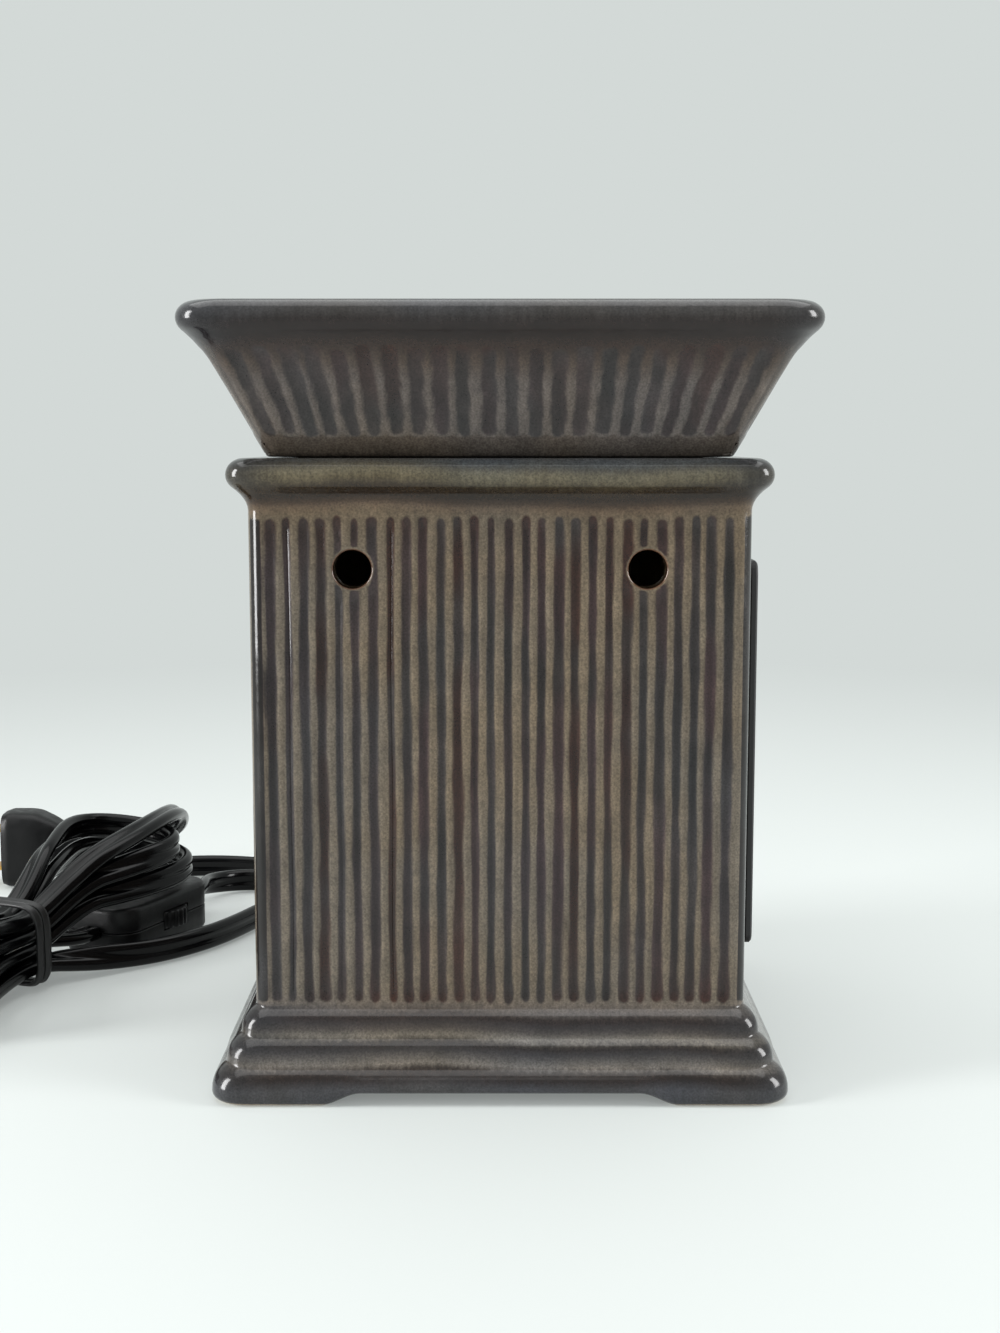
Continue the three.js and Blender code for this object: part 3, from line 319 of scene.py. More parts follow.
# The dark brown under the dish's rolled rim, 167.6 to 170, is partly glaze and partly painted shade
DISH_BANDS = (
    (138.0, *CLAY), (141.2, *CLAY), (141.7, 30, 26, 24), (143.0, 61, 56, 51), (146.0, 71, 65, 60),
    (148.0, 80, 73, 68), (158.0, 77, 70, 66), (162.0, 63, 53, 46), (165.4, 42, 31, 26), (167.6, 28, 20, 18),
    (170.0, 28, 21, 20), (171.8, 46, 44, 44), (173.6, 54, 53, 54), (175.0, 60, 60, 61),
)

# Drift of the bands: how far fine streaks and a wide sway draw their edges
HOUSING_DRIFT = (0.3, 1.1)
DISH_DRIFT = (0.25, 0.4)

# Glaze texture: scale, detail and stretch of noises, and before them the least and most that some spread to
NOISE_RANGE = (0.3, 0.7)
SPECKLE = (0.68, 1.32, 2300, 2)
MOTTLE = (0.84, 1.16, 160, 4)
POOL_TONE = (0.55, 1.3, 150, 3, (1, 1, 0.3))
FLUTE_UNEVEN = (-0.22, 0.22, 420, 3, (1, 1, 0.16))
GLAZE_ROUGHNESS = (0.13, 0.27, 500, 3)
STREAKS = (1100, 3, (1, 1, 0.05))
STREAK_RANGE = (0.25, 0.75)
RUNS = (0.86, 1.14)
SWAYS = (22, 1)
SLATE = (70, 2, (1, 1, 0.5))
SLATE_RANGE = (0.46, 0.62, 0, 0.75)
CLOUDS = (32, 2)
CLOUD_RANGE = (0.38, 0.62, 0, 1)
WARM_CLOUD = (1.05, 1.0, 0.92)
COOL_CLOUD = (0.92, 0.95, 1.0)
POOL_RANGE = (0.56, 1.14, 1, 0)
ORANGE_PEEL = (420, 3)
PEEL_DEPTH = 0.05

# Glaze painting: runs, rises and fades in millimetres, and shares
POOL_TONES = (0.0, 0.35, 0.7, 1.0)
END_BROWN = 0.85
END_RUN = 8.0
BREATH = 0.06
BREATH_RUN = 6.5
BREATH_PHASE = 2.3
SWELL = 0.22
SWELL_RISE = 2.4
SWELL_RUN = 2.2
# The column's dark corner strips, partly darker glaze and partly painted shade, start further in on the side
# of negative across
CORNER_SHADE_FROM = (0.5, 1.6)
CORNER_SHADE_FADE = 0.8
CORNER_FADE = (3.0, 14.0)
# Shares of painted slate shade at the upright corners of the base and of the rolled rim
CORNER_SHADE_BASE = 0.5
CORNER_SHADE_ROLL = 0.75
ROLL_FADE = (HOUSING_TOP - 7.5, HOUSING_TOP - 4.5)
INSIDE_DEPTH = 1.2
FOOT_FADE = (0.3, 0.7)
LIP_SHARE = 0.8
LIP_REACH = 0.6
LIP_SUNK = 0.02
BORE_REACH = 0.1
BORE_SHORT = 0.3
# Share of the painted shade mixed into the dish's pooled glaze below the flutes' tops
DISH_POOL_AND_SHADE_SHARE = 0.55
DISH_END_RUN = 3.5
WELL_DEPTH = 1.5
WELL_FADE = (DISH_TOP - 7, DISH_TOP - 3)
# Share of painted slate shade at the dish's corners towards the rim
CORNER_SHADE_DISH = 0.45
DISH_RIM_FADE = (DISH_FLUTE_HIGH - 2, DISH_FLUTE_HIGH + 2)

# Plain finishes: colour, roughness, metal, grain, depth of grain, spread of colour and roughness, and shine
FINISHES = {
    "black_coating": ((20, 20, 21), 0.46, 0.0, 2600, 0.012, 0.1, 0.02, 0.5),
    "foam": ((34, 34, 34), 0.95, 0.0, 1800, 0.08, 0.12, 0.08, 0.5),
    "zinc": ((186, 189, 193), 0.36, 1.0, 500, 0.004, 0.06, 0.08, 0.5),
    "solder": ((168, 168, 170), 0.5, 1.0, 900, 0.02, 0.12, 0.08, 0.5),
    "brass": ((196, 160, 88), 0.32, 1.0, 700, 0.004, 0.08, 0.08, 0.5),
    "phenolic": ((30, 27, 25), 0.5, 0.0, 1200, 0.01, 0.12, 0.08, 0.5),
    "black_glass": ((16, 16, 20), 0.15, 0.0, 300, 0.004, 0.12, 0.08, 0.5),
    "tungsten": ((90, 90, 88), 0.5, 1.0, 3000, 0.01, 0.12, 0.08, 0.5),
    "vinyl": ((4, 4, 5), 0.17, 0.0, 700, 0.008, 0.2, 0.05, 0.2),
    "moulded": ((9, 9, 10), 0.4, 0.0, 2400, 0.015, 0.15, 0.08, 0.25),
    "tie_film": ((10, 10, 11), 0.46, 0.0, 1600, 0.02, 0.2, 0.08, 0.5),
}
SMOOTHEST = 0.02
GLASS_WAVES = (60, 2)
GLASS_DEPTH = 0.02
NODE_FINISHES = {
    "black_coating": ("display_plate",),
    "zinc": ("lamp_pipe", "upper_washer", "lower_washer", "lock_nut", "switch_axle", "switch_screw"),
    "phenolic": ("socket_body",),
    "brass": ("socket_screw_shell", "socket_contact", "bulb_cap", "plug_blade_lower", "plug_blade_upper"),
    "solder": ("bulb_tip",),
    "black_glass": ("bulb_insulator",),
    "clear_glass": ("bulb_stem",),
    "tungsten": ("bulb_filament",),
}


def linear(red, green, blue):
    """A screen colour from 0 to 255 as linear light."""
    share = np.array((red, green, blue)) / 255
    return np.where(share <= 0.04045, share / 12.92, ((share + 0.055) / 1.055) ** 2.4)


INSIDE = linear(118, 102, 86)
BARE_CLAY = linear(*CLAY)
GROOVE_BROWN = linear(44, 24, 16)
GROOVE_VIOLET = linear(50, 37, 39)
GROOVE_SLATE = linear(44, 42, 42)
# Painted shade, partly darker glaze, for the column's corner strips
COLUMN_CORNER_SHADE = linear(17, 12, 10)
# Painted slate shade at the upright corners of base, rim and dish
CORNER_SHADE_SLATE = linear(36, 37, 40)
VENT_TAN = linear(84, 58, 42)
# Painted shade: near black on the inner wall of each vent
VENT_BORE_SHADE = linear(24, 16, 12)
# Pooled glaze of the dish, darkened as painted shade for its down-facing flared wall
DISH_POOL_AND_SHADE = linear(44, 38, 37)
WELL_BROWN = linear(58, 51, 46)


def smooth(value, low, high):
    """0 below low, 1 above high, with a soft S between them."""
    share = np.clip((value - low) / (high - low), 0, 1)
    return share * share * (3 - 2 * share)


def mix(first, second, share):
    """Blend of two colours or two fields of colours by a field of shares."""
    return first + (second - first) * np.asarray(share)[..., None]


def even_angles(count):
    """Even angles once round."""
    return np.linspace(0, 2 * np.pi, count, endpoint=False)


def squared(wave, power):
    """A cosine or sine to a power with its sign kept, which squares off a circle."""
    return np.sign(wave) * np.abs(wave) ** power


def arc(x, z, radius, start, stop, count):
    """Profile points on a circle: centre plus radius times cosine and sine of even angles in degrees."""
    angle = np.radians(np.linspace(start, stop, count))
    return np.column_stack((x + radius * np.cos(angle), z + radius * np.sin(angle)))


def bow(first, pull, last, count):
    """Profile points on a parabola from the first point to the last, drawn towards the pull."""
    t = np.linspace(0, 1, count)[:, None]
    return (1 - t) ** 2 * np.array(first) + 2 * t * (1 - t) * np.array(pull) + t**2 * np.array(last)


def ogee(first, leave, arrive, last, count):
    """Profile points on a cubic curve that leaves the first point and reaches the last along two pulls."""
    t = np.linspace(0, 1, count)[:, None]
    ends = (1 - t) ** 3 * np.array(first) + t**3 * np.array(last)
    return ends + 3 * t * (1 - t) ** 2 * np.array(leave) + 3 * t**2 * (1 - t) * np.array(arrive)


def without_doubles(parts):
    """A profile of parts in turn, with points that repeat their neighbour left out."""
    profile = np.concatenate(parts)
    step = np.linalg.norm(np.diff(profile, axis=0), axis=1)
    return profile[np.r_[True, step > 1e-6]]


def volume(points, faces):
    """Signed volume: a sixth of the triple products of each face's corners, fanned from its first corner."""
    total = 0.0
    for size in (3, 4):
        chosen = np.array([face for face in faces if len(face) == size])
        for k in range(1, size - 1):
            a, b, c = points[chosen[:, 0]], points[chosen[:, k]], points[chosen[:, k + 1]]
            total += np.einsum("ij,ij->i", a, np.cross(b, c)).sum() / 6
    return total


def closed_skin(rings, tips=None):
    """Points and outward faces over rings, an array of ring, place round it and axis: quads between the rings
    in turn, and at both ends a fan to a tip, which is the mean of the ring where none is given."""
    count, around = rings.shape[:2]
    if tips is None:
        tips = (rings[0].mean(0), rings[-1].mean(0))
    points = np.concatenate((rings.reshape(-1, 3), tips))
    here = np.arange(count * around).reshape(count, around)
    right = np.roll(here, -1, axis=1)
    quads = np.stack((here[:-1], right[:-1], right[1:], here[1:]), axis=-1).reshape(-1, 4)
    tip = np.full(around, count * around)
    first_fan = np.stack((tip, right[0], here[0]), axis=-1)
    last_fan = np.stack((tip + 1, here[-1], right[-1]), axis=-1)
    faces = quads.tolist() + first_fan.tolist() + last_fan.tolist()
    if volume(points, faces) < 0:
        faces = [face[::-1] for face in faces]
    return points, faces


def lathe(profile, sides):
    """Rings of radii and heights turned about Z: radius times cosine and sine of even angles."""
    radius, height = np.array(profile, float).T[..., None]
    angle = even_angles(sides)
    return np.stack(np.broadcast_arrays(radius * np.cos(angle), radius * np.sin(angle), height), axis=-1)


def new_object(name, points, faces, finish):
    """A smooth mesh of points in millimetres and faces, with one finish, put into the scene."""
    mesh = bpy.data.meshes.new(name)
    mesh.from_pydata((np.asarray(points) * MM).tolist(), [], faces)
    mesh.shade_smooth()
    if finish is not None:
        mesh.materials.append(finish)
    piece = bpy.data.objects.new(name, mesh)
    bpy.context.scene.collection.objects.link(piece)
    return piece


def add_piece(name, skin, body, finish, slot, sharp, *solids):
    """A closed skin that rides on a body and stands for solids, with edges kept sharp past an angle."""
    piece = new_object(name, *skin, finish)
    if sharp is not None:
        piece.data.set_sharp_from_angle(angle=math.radians(sharp))
    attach(piece, body)
    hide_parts(*solids)
    return piece


def cut_away(piece, cutters, sharp):
    """The piece's mesh with closed cutters taken away in one boolean."""
    faces = []
    start = 0
    for cutter_points, cutter_faces in cutters:
        faces += [[corner + start for corner in face] for face in cutter_faces]
        start += len(cutter_points)
    tool = new_object("cutters", np.concatenate([cutter[0] for cutter in cutters]), faces, None)
    boolean = piece.modifiers.new("cut", "BOOLEAN")
    boolean.operation = "DIFFERENCE"
    boolean.solver = "MANIFOLD"
    boolean.object = tool
    shown = piece.evaluated_get(bpy.context.evaluated_depsgraph_get())
    cut = bpy.data.meshes.new_from_object(shown)
    piece.modifiers.clear()
    piece.data = cut
    bpy.data.objects.remove(tool)
    cut.shade_smooth()
    cut.set_sharp_from_angle(angle=math.radians(sharp))


# Finishes


def rgba(colour):
    """A colour with full cover."""
    return (*colour, 1)


def feed(tree, node, feeds):
    """Links fields to a node's sockets, and sets constants on the others."""
    for socket, value in feeds.items():
        if isinstance(value, bpy.types.NodeSocket):
            tree.links.new(value, node.inputs[socket])
        else:
            node.inputs[socket].default_value = value


def wire(tree, kind, feeds, output=0, **settings):
    """The output of a new node with its settings and what its sockets are fed."""
    node = tree.nodes.new("ShaderNode" + kind)
    for name, value in settings.items():
        setattr(node, name, value)
    feed(tree, node, feeds)
    return node.outputs[output]


def own_place(tree):
    """The piece's own coordinates, in metres."""
    return wire(tree, "TexCoord", {}, "Object")


def noise(tree, scale, detail, stretch=None):
    """A noise field on the piece's own coordinates, stretched along axes where asked."""
    place = own_place(tree)
    if stretch is not None:
        place = wire(tree, "Mapping", {"Vector": place, "Scale": stretch}, "Vector")
    return wire(tree, "TexNoise", {"Vector": place, "Scale": scale, "Detail": detail}, "Fac")


def spread(tree, value, low, high, to_low, to_high, curve="LINEAR"):
    """A field rescaled from one range to another."""
    feeds = {"Value": value, "From Min": low, "From Max": high, "To Min": to_low, "To Max": to_high}
    return wire(tree, "MapRange", feeds, "Result", interpolation_type=curve)


def noise_between(tree, low, high, scale, detail, stretch=None):
    """A noise field spread from low to high."""
    return spread(tree, noise(tree, scale, detail, stretch), *NOISE_RANGE, low, high)


def maths(tree, operation, first, second):
    """One number field made of two."""
    return wire(tree, "Math", {0: first, 1: second}, "Value", operation=operation)


def length(tree, vector):
    """How long a vector field is."""
    return wire(tree, "VectorMath", {0: vector}, "Value", operation="LENGTH")


def blended(tree, first, second, field):
    """Between two colours, each a field or fixed, by a field."""
    return wire(tree, "Mix", {0: field, 6: first, 7: second}, 2, data_type="RGBA")


def scaled(tree, colour, field):
    """A colour field made lighter or darker by a field round 1."""
    return wire(tree, "VectorMath", {"Vector": colour, "Scale": field}, "Vector", operation="SCALE")


def bump(tree, field, depth):
    """The normal of a fine relief of the given depth in millimetres."""
    return wire(tree, "Bump", {"Height": field, "Distance": depth * MM}, "Normal")


def new_finish(name):
    """A material, its nodes and its shader."""
    finish = bpy.data.materials.new(name)
    finish.use_nodes = True
    return finish, finish.node_tree, finish.node_tree.nodes["Principled BSDF"]


def height_bands(tree, bands, drift):
    """Colours by height on the piece, from a table; a field draws the edges of the bands up and down."""
    low, high = bands[0][0], bands[-1][0]
    height = wire(tree, "SeparateXYZ", {0: own_place(tree)}, "Z")
    level = maths(tree, "ADD", spread(tree, height, low * MM, high * MM, 0, 1), drift)
    colour = wire(tree, "ValToRGB", {"Fac": level}, "Color")
    stops = colour.node.color_ramp.elements
    while len(stops) < len(bands):
        stops.new(0.5)
    for stop, (place, *shade) in zip(stops, bands):
        stop.position = (place - low) / (high - low)
        stop.color = rgba(linear(*shade))
    return colour


def flute_mask(tree, channels):
    """1 in the flutes and 0 on the ridges: a soft step of the length of the two distances, across and past
    the end, which a noise drawn out along the flutes makes uneven."""
    place = wire(tree, "CombineXYZ", {"X": channels["Red"], "Y": channels["Green"]}, "Vector")
    uneven = maths(tree, "ADD", length(tree, place), noise_between(tree, *FLUTE_UNEVEN))
    return spread(tree, uneven, *POOL_RANGE, "SMOOTHSTEP")


def glaze_finish(name, bands, streak, sway):
    """Reactive glaze: bands by height, some of them partly painted light and shade, with edges drawn into
    fine streaks and a wide sway, in millimetres, pooled colour in the flutes with painted shade at the
    column's corners, a colour of its own on bare and hidden parts with painted shade on the upright corners
    and in the vent bores, speckle, mottling, runs and clouds, and a glossy skin."""
    finish, tree, shader = new_finish(name)
    painted = ("place", "pool", "bare")
    place, pool, bare = (wire(tree, "Attribute", {}, "Color", attribute_name=key) for key in painted)
    channels = wire(tree, "SeparateColor", {"Color": place}).node.outputs
    streaks = noise(tree, *STREAKS)
    rise = bands[-1][0] - bands[0][0]
    fine = spread(tree, streaks, *STREAK_RANGE, -streak / rise, streak / rise)
    wide = noise_between(tree, -sway / rise, sway / rise, *SWAYS)
    land = height_bands(tree, bands, maths(tree, "ADD", fine, wide))
    pooled = blended(tree, pool, rgba(GROOVE_SLATE), spread(tree, noise(tree, *SLATE), *SLATE_RANGE))
    pooled = scaled(tree, pooled, noise_between(tree, *POOL_TONE))
    colour = blended(tree, land, pooled, flute_mask(tree, channels))
    colour = blended(tree, colour, bare, channels["Blue"])
    grain = maths(tree, "MULTIPLY", noise_between(tree, *SPECKLE), noise_between(tree, *MOTTLE))
    grain = maths(tree, "MULTIPLY", grain, spread(tree, streaks, *NOISE_RANGE, *RUNS))
    cloud = spread(tree, noise(tree, *CLOUDS), *CLOUD_RANGE)
    clouds = blended(tree, rgba(WARM_CLOUD), rgba(COOL_CLOUD), cloud)
    colour = wire(tree, "VectorMath", {0: scaled(tree, colour, grain), 1: clouds}, operation="MULTIPLY")
    feed(tree, shader, {
        "Base Color": colour,
        "Roughness": noise_between(tree, *GLAZE_ROUGHNESS),
        "Specular IOR Level": 0.22,
        "Coat Weight": 0.35,
        "Coat Roughness": 0.05,
        "Normal": bump(tree, noise(tree, *ORANGE_PEEL), PEEL_DEPTH),
    })
    return finish


def plain_finish(name, colour, roughness, metal, grain, depth, vary, uneven, shine):
    """One colour with a soft variation, a roughness that varies as well and a fine grain."""
    finish, tree, shader = new_finish(name)
    field = noise(tree, grain, 3)
    base = linear(*colour)
    dark = rgba(base * (1 - vary))
    light = rgba(np.minimum(base * (1 + vary), 1))
    smoothest = max(roughness - uneven, SMOOTHEST)
    feed(tree, shader, {
        "Base Color": blended(tree, dark, light, spread(tree, field, *NOISE_RANGE, 0, 1)),
        "Roughness": noise_between(tree, smoothest, roughness + uneven, grain / 6, 2),
        "Metallic": metal,
        "Specular IOR Level": shine,
        "Normal": bump(tree, field, depth),
    })
    return finish


def glass_finish(name):
    """Clear thin glass."""
    finish, tree, shader = new_finish(name)
    feed(tree, shader, {
        "Base Color": (0.97, 0.98, 0.97, 1),
        "Roughness": SMOOTHEST,
        "Transmission Weight": 1,
        "IOR": 1.5,
        "Normal": bump(tree, noise(tree, *GLASS_WAVES), GLASS_DEPTH),
    })
    return finish


finishes = {name: plain_finish(name, *values) for name, values in FINISHES.items()}
finishes["clear_glass"] = glass_finish("clear_glass")
housing_glaze = glaze_finish("housing_glaze", HOUSING_BANDS, *HOUSING_DRIFT)
dish_glaze = glaze_finish("dish_glaze", DISH_BANDS, *DISH_DRIFT)
for finish_name, node_names in NODE_FINISHES.items():
    for node_name in node_names:
        nodes[node_name].data.materials.clear()
        nodes[node_name].data.materials.append(finishes[finish_name])


# Square fluted ceramics


def quarter_turn(across, out, quarter):
    """A place on the -Y side, given across and outwards, carried to a side by quarter turns."""
    x, y = across, -out
    for _ in range(quarter):
        x, y = -y, x
    return x, y


def corner_middle(half, corner):
    """Place across where a side meets the middle of its corner arc: the straight part and the sine at 45."""
    return half - corner + corner * AT_45


def square_rings(half, height, corner, across, push):
    """Rings of a square with round corners. The places across each side run from the middle of one corner
    arc to the next. Outwards is the half width, less what the arc falls back, plus each place's push."""
    straight = (half - corner)[:, None]
    parts = []
    for quarter in range(4):
        place = across[quarter][:, :-1]
        past = np.maximum(np.abs(place) - straight, 0)
        out = straight + np.sqrt(np.maximum(corner[:, None] ** 2 - past**2, 0)) + push[quarter][:, :-1]
        parts.append(np.stack(quarter_turn(place, out, quarter), axis=-1))
    flat = np.concatenate(parts, axis=1)
    tall = np.repeat(height[:, None], flat.shape[1], axis=1)
    return np.concatenate((flat, tall[..., None]), axis=-1)


def flute_table(count, seed, width_share, wander_share):
    """Small hand-made differences of each flute on each side: shift, width, wander, phase, ends and tone."""
    chance = np.random.default_rng(seed)
    size = (4, count)
    return {
        "shift": chance.normal(0, 0.14, size),
        "width": (1 - width_share) + width_share * (1 + chance.uniform(-0.22, 0.2, size)),
        "wander": wander_share * chance.uniform(0.02, 0.14, size),
        "phase": chance.uniform(0, 2 * np.pi, size),
        "low": chance.uniform(-0.25, 0.35, size),
        "high": chance.uniform(-0.5, 0.3, size),
        "tone": chance.uniform(0, 1, size),
    }


Fluting = namedtuple("Fluting", "count pitch width low high end fade flat table")
HOUSING_FLUTES = Fluting(FLUTE_COUNT, FLUTE_PITCH, FLUTE_WIDTH, FLUTE_LOW, FLUTE_HIGH, FLUTE_END, FLUTE_FADE,
                         FLUTE_FLAT, flute_table(FLUTE_COUNT, FLUTE_SEED, width_share=1.0, wander_share=1.0))
DISH_FLUTES = Fluting(DISH_FLUTE_COUNT, DISH_FLUTE_PITCH, DISH_FLUTE_WIDTH, DISH_FLUTE_LOW, DISH_FLUTE_HIGH,
                      DISH_FLUTE_END, DISH_FLUTE_FADE, DISH_FLUTE_FLAT,
                      flute_table(DISH_FLUTE_COUNT, DISH_FLUTE_SEED, width_share=0.6, wander_share=0.0))


def looks(fluting, side, number):
    """The table's values of flutes by side and number."""
    return {key: values[side, number] for key, values in fluting.table.items()}


def aside(look, height):
    """How far a flute stands aside at a height: its shift and a sine along its height."""
    return look["shift"] + look["wander"] * np.sin(height / SWAY_RUN + look["phase"])


def in_flute(fluting, across, height, side):
    """Where a place lies in its flute: the distance from the middle in half widths, the distance past the
    start of its round end in end radii, and the flute's number."""
    centre = (fluting.count - 1) / 2
    number = np.clip(np.round(across / fluting.pitch + centre), 0, fluting.count - 1).astype(int)
    look = looks(fluting, side, number)
    middle = (number - centre) * fluting.pitch + aside(look, height)
    from_middle = np.abs(across - middle) / (fluting.width / 2 * look["width"])
    past_low = fluting.low + fluting.end + look["low"] - height
    past_high = height - (fluting.high - fluting.end + look["high"])
    past_end = np.maximum(past_low, past_high) / fluting.end
    return from_middle, np.clip(past_end, 0, FAR_PAST_END), number


def trough(fluting, from_middle, height):
    """Depth of the flutes, 0 to 1: a soft trough across that fades out towards both ends."""
    depth = 1 - smooth(from_middle, *fluting.flat)
    depth = depth * smooth(height, fluting.low - FLUTE_EASE, fluting.low + fluting.fade)
    return depth * (1 - smooth(height, fluting.high - fluting.fade, fluting.high + FLUTE_EASE))


def fluted_places(fluting, ends):
    """Places across a fluted side: the middle of each ridge, the edges, flanks and middle of each flute, and
    a few places on to the middle of the corner arc. Also each place's flute, and whether it moves with it."""
    offsets = np.array(FLUTE_OFFSETS) * (fluting.width / 2)
    number = np.arange(fluting.count)
    middles = (number - (fluting.count - 1) / 2) * fluting.pitch
    flutes = np.column_stack((middles - fluting.pitch / 2, middles[:, None] + offsets)).ravel()
    last = middles[-1] + fluting.pitch / 2
    corner = np.linspace(last, ends, CORNER_PLACES + 1)[1:]
    places = np.concatenate((-corner[::-1], flutes, (last,), corner))
    in_turn = np.repeat(number, len(offsets) + 1)
    numbers = np.concatenate((np.zeros(CORNER_PLACES, int), in_turn, np.full(CORNER_PLACES + 1, number[-1])))
    still = np.zeros(CORNER_PLACES + 1, bool)
    loose = np.concatenate((still, np.ones(len(flutes) - 1, bool), still))
    return places, numbers, loose


def places_of(piece):
    """The piece's points in millimetres, the side each lies on, and its place across and outwards there."""
    flat = np.zeros(len(piece.data.vertices) * 3)
    piece.data.vertices.foreach_get("co", flat)
    points = flat.reshape(-1, 3) / MM
    x, y = points[:, 0], points[:, 1]
    side = np.where(np.abs(x) > np.abs(y), np.where(x > 0, 1, 3), np.where(y > 0, 2, 0))
    across = np.select([side == 0, side == 1, side == 2], [x, y, -x], -y)
    return points, side, across, np.maximum(np.abs(x), np.abs(y))


def flute_places(flute, side, across, height):
    """For each point, where it lies in its flute, with room for a third number, and the flute's number."""
    place = np.zeros((len(side), 3))
    number = np.zeros(len(side), int)
    for quarter in range(4):
        chosen = side == quarter
        found = flute(across[chosen], height[chosen], quarter)
        place[chosen, 0], place[chosen, 1], number[chosen] = found
    return place, number


def corner_share(across, out):
    """1 at the upright corners, fading to 0 along the sides."""
    return 1 - smooth(out - np.abs(across), *CORNER_FADE)


def groove_colours(tone, at_end):
    """The pooled glaze of each flute: a tone between brown, violet and slate, browner at the ends."""
    tones = np.array((GROOVE_BROWN, GROOVE_VIOLET, GROOVE_SLATE, GROOVE_VIOLET))
    pooled = np.column_stack([np.interp(tone, POOL_TONES, tones[:, channel]) for channel in range(3)])
    return mix(pooled, GROOVE_BROWN, END_BROWN * at_end)


def paint(piece, **fields):
    """Puts the three numbers of each field on each point of a glazed piece."""
    for name, values in fields.items():
        layer = piece.data.color_attributes.new(name, "FLOAT_COLOR", "POINT")
        layer.data.foreach_set("color", np.column_stack((values, np.ones(len(values)))).ravel())


# Housing


def vent_distance(across, height):
    """Distance from the middle of the nearer vent."""
    return np.hypot(np.abs(across) - VENT_OFFSET, height - VENT_HEIGHT)


def housing_flute(across, height, side):
    """Where a place lies in its flute, which also ends at the rim of a vent."""
    from_middle, past_end, number = in_flute(HOUSING_FLUTES, across, height, side)
    if side in VENT_SIDES:
        at_vent = 1 - (vent_distance(across, height) - VENT_RIM + VENT_STOP[0]) / VENT_STOP[1]
        past_end = np.maximum(past_end, np.clip(at_vent, 0, FAR_PAST_END))
    return from_middle, past_end, number


def housing_profile():
    """Half widths and heights from the floor inside, over the mouth and the rolled rim, down the wall,
    over the stepped base and its foot, and up the skirt to the underside of the floor."""
    inner = BODY_HALF - BODY_WALL
    step_run = (BASE_HALF - BODY_HALF) / BASE_STEPS
    step_rise = (BASE_HEIGHT - PLINTH_HEIGHT) / (BASE_STEPS - 1)
    lip_height = HOUSING_TOP - MOUTH_LIP
    roll_half = RIM_HALF - RIM_ROLL
    roll_height = HOUSING_TOP - RIM_ROLL
    roll_edge = RIM_ROLL * AT_45
    cove_top = roll_height - roll_edge
    cove_pull = (BODY_HALF, (COLUMN_TOP + cove_top) / 2)
    end_rows = np.linspace(-FLUTE_EASE, FLUTE_FADE, END_ROWS)
    vent_rows = np.linspace(VENT_HEIGHT + VENT_ROWS[0], VENT_HEIGHT + VENT_ROWS[1], VENT_ROWS[2])
    middle_rows = np.linspace(FLUTE_LOW + MIDDLE_ROWS[0], VENT_HEIGHT + MIDDLE_ROWS[1], MIDDLE_ROWS[2])
    wall_rows = np.concatenate((vent_rows, FLUTE_LOW + end_rows, FLUTE_HIGH - end_rows, middle_rows))
    skirt = np.array(SKIRT_EDGE) + (SKIRT_HALF, 0)
    parts = [
        ((FLOOR_START, FLOOR_TOP), (inner - FLOOR_ROUND, FLOOR_TOP)),
        arc(inner - FLOOR_ROUND, FLOOR_TOP + FLOOR_ROUND, FLOOR_ROUND, -90, 0, 4),
        np.linspace((inner, FLOOR_TOP + 2 * FLOOR_ROUND), (inner, lip_height - (inner - MOUTH_HALF)), 3),
        ((MOUTH_HALF, lip_height), (MOUTH_HALF, HOUSING_TOP - 1.5 * MOUTH_ROUND)),
        arc(MOUTH_HALF + MOUTH_ROUND, HOUSING_TOP - MOUTH_ROUND, MOUTH_ROUND, 180, 90, 4),
        arc(roll_half, roll_height, RIM_ROLL, 90, -45, 13),
        bow((roll_half + roll_edge, cove_top), cove_pull, (BODY_HALF, COLUMN_TOP), 7),
        np.column_stack((np.full(len(wall_rows), BODY_HALF), np.sort(wall_rows)[::-1])),
    ]
    for step in reversed(range(BASE_STEPS)):
        outer = BASE_HALF - step * step_run
        top = PLINTH_HEIGHT + step * step_rise
        bottom = top - step_rise if step else FOOT_ROUND
        rise = top - bottom
        drawn = (outer - step_run, top - COVE_SHARE * rise)
        swollen = (outer, bottom + BEAD_SHARE * rise)
        parts.append(ogee((outer - step_run, top), drawn, swollen, (outer, bottom), 11))
    parts += [
        arc(BASE_HALF - FOOT_ROUND, FOOT_ROUND, FOOT_ROUND, 0, -90, 6),
        skirt[:2],
        np.linspace(skirt[2], (inner, FLOOR_BOTTOM), 3),
        ((inner - 1, FLOOR_BOTTOM), (FLOOR_START, FLOOR_BOTTOM)),
    ]
    return without_doubles(parts)


def housing_corner(half, height):
    """Corner radius in plan: the mouldings open out a little, and the mouth and the floor have their own."""
    opened = BODY_CORNER + CORNER_OPENING * np.maximum(half - BODY_HALF, 0)
    near_mouth = (height > HOUSING_TOP - RIM_ROLL) & (half < RIM_HALF - RIM_ROLL)
    inside = half < BODY_HALF - BODY_WALL
    return np.where(inside | near_mouth, MOUTH_CORNER, opened)


def arch_lift(across):
    """How far the foot of the base is raised between the corner feet: an S over the length of the ogee."""
    low = BASE_HALF - FOOT_LENGTH
    return ARCH_HEIGHT * (1 - smooth(np.abs(across), low - FOOT_OGEE, low))


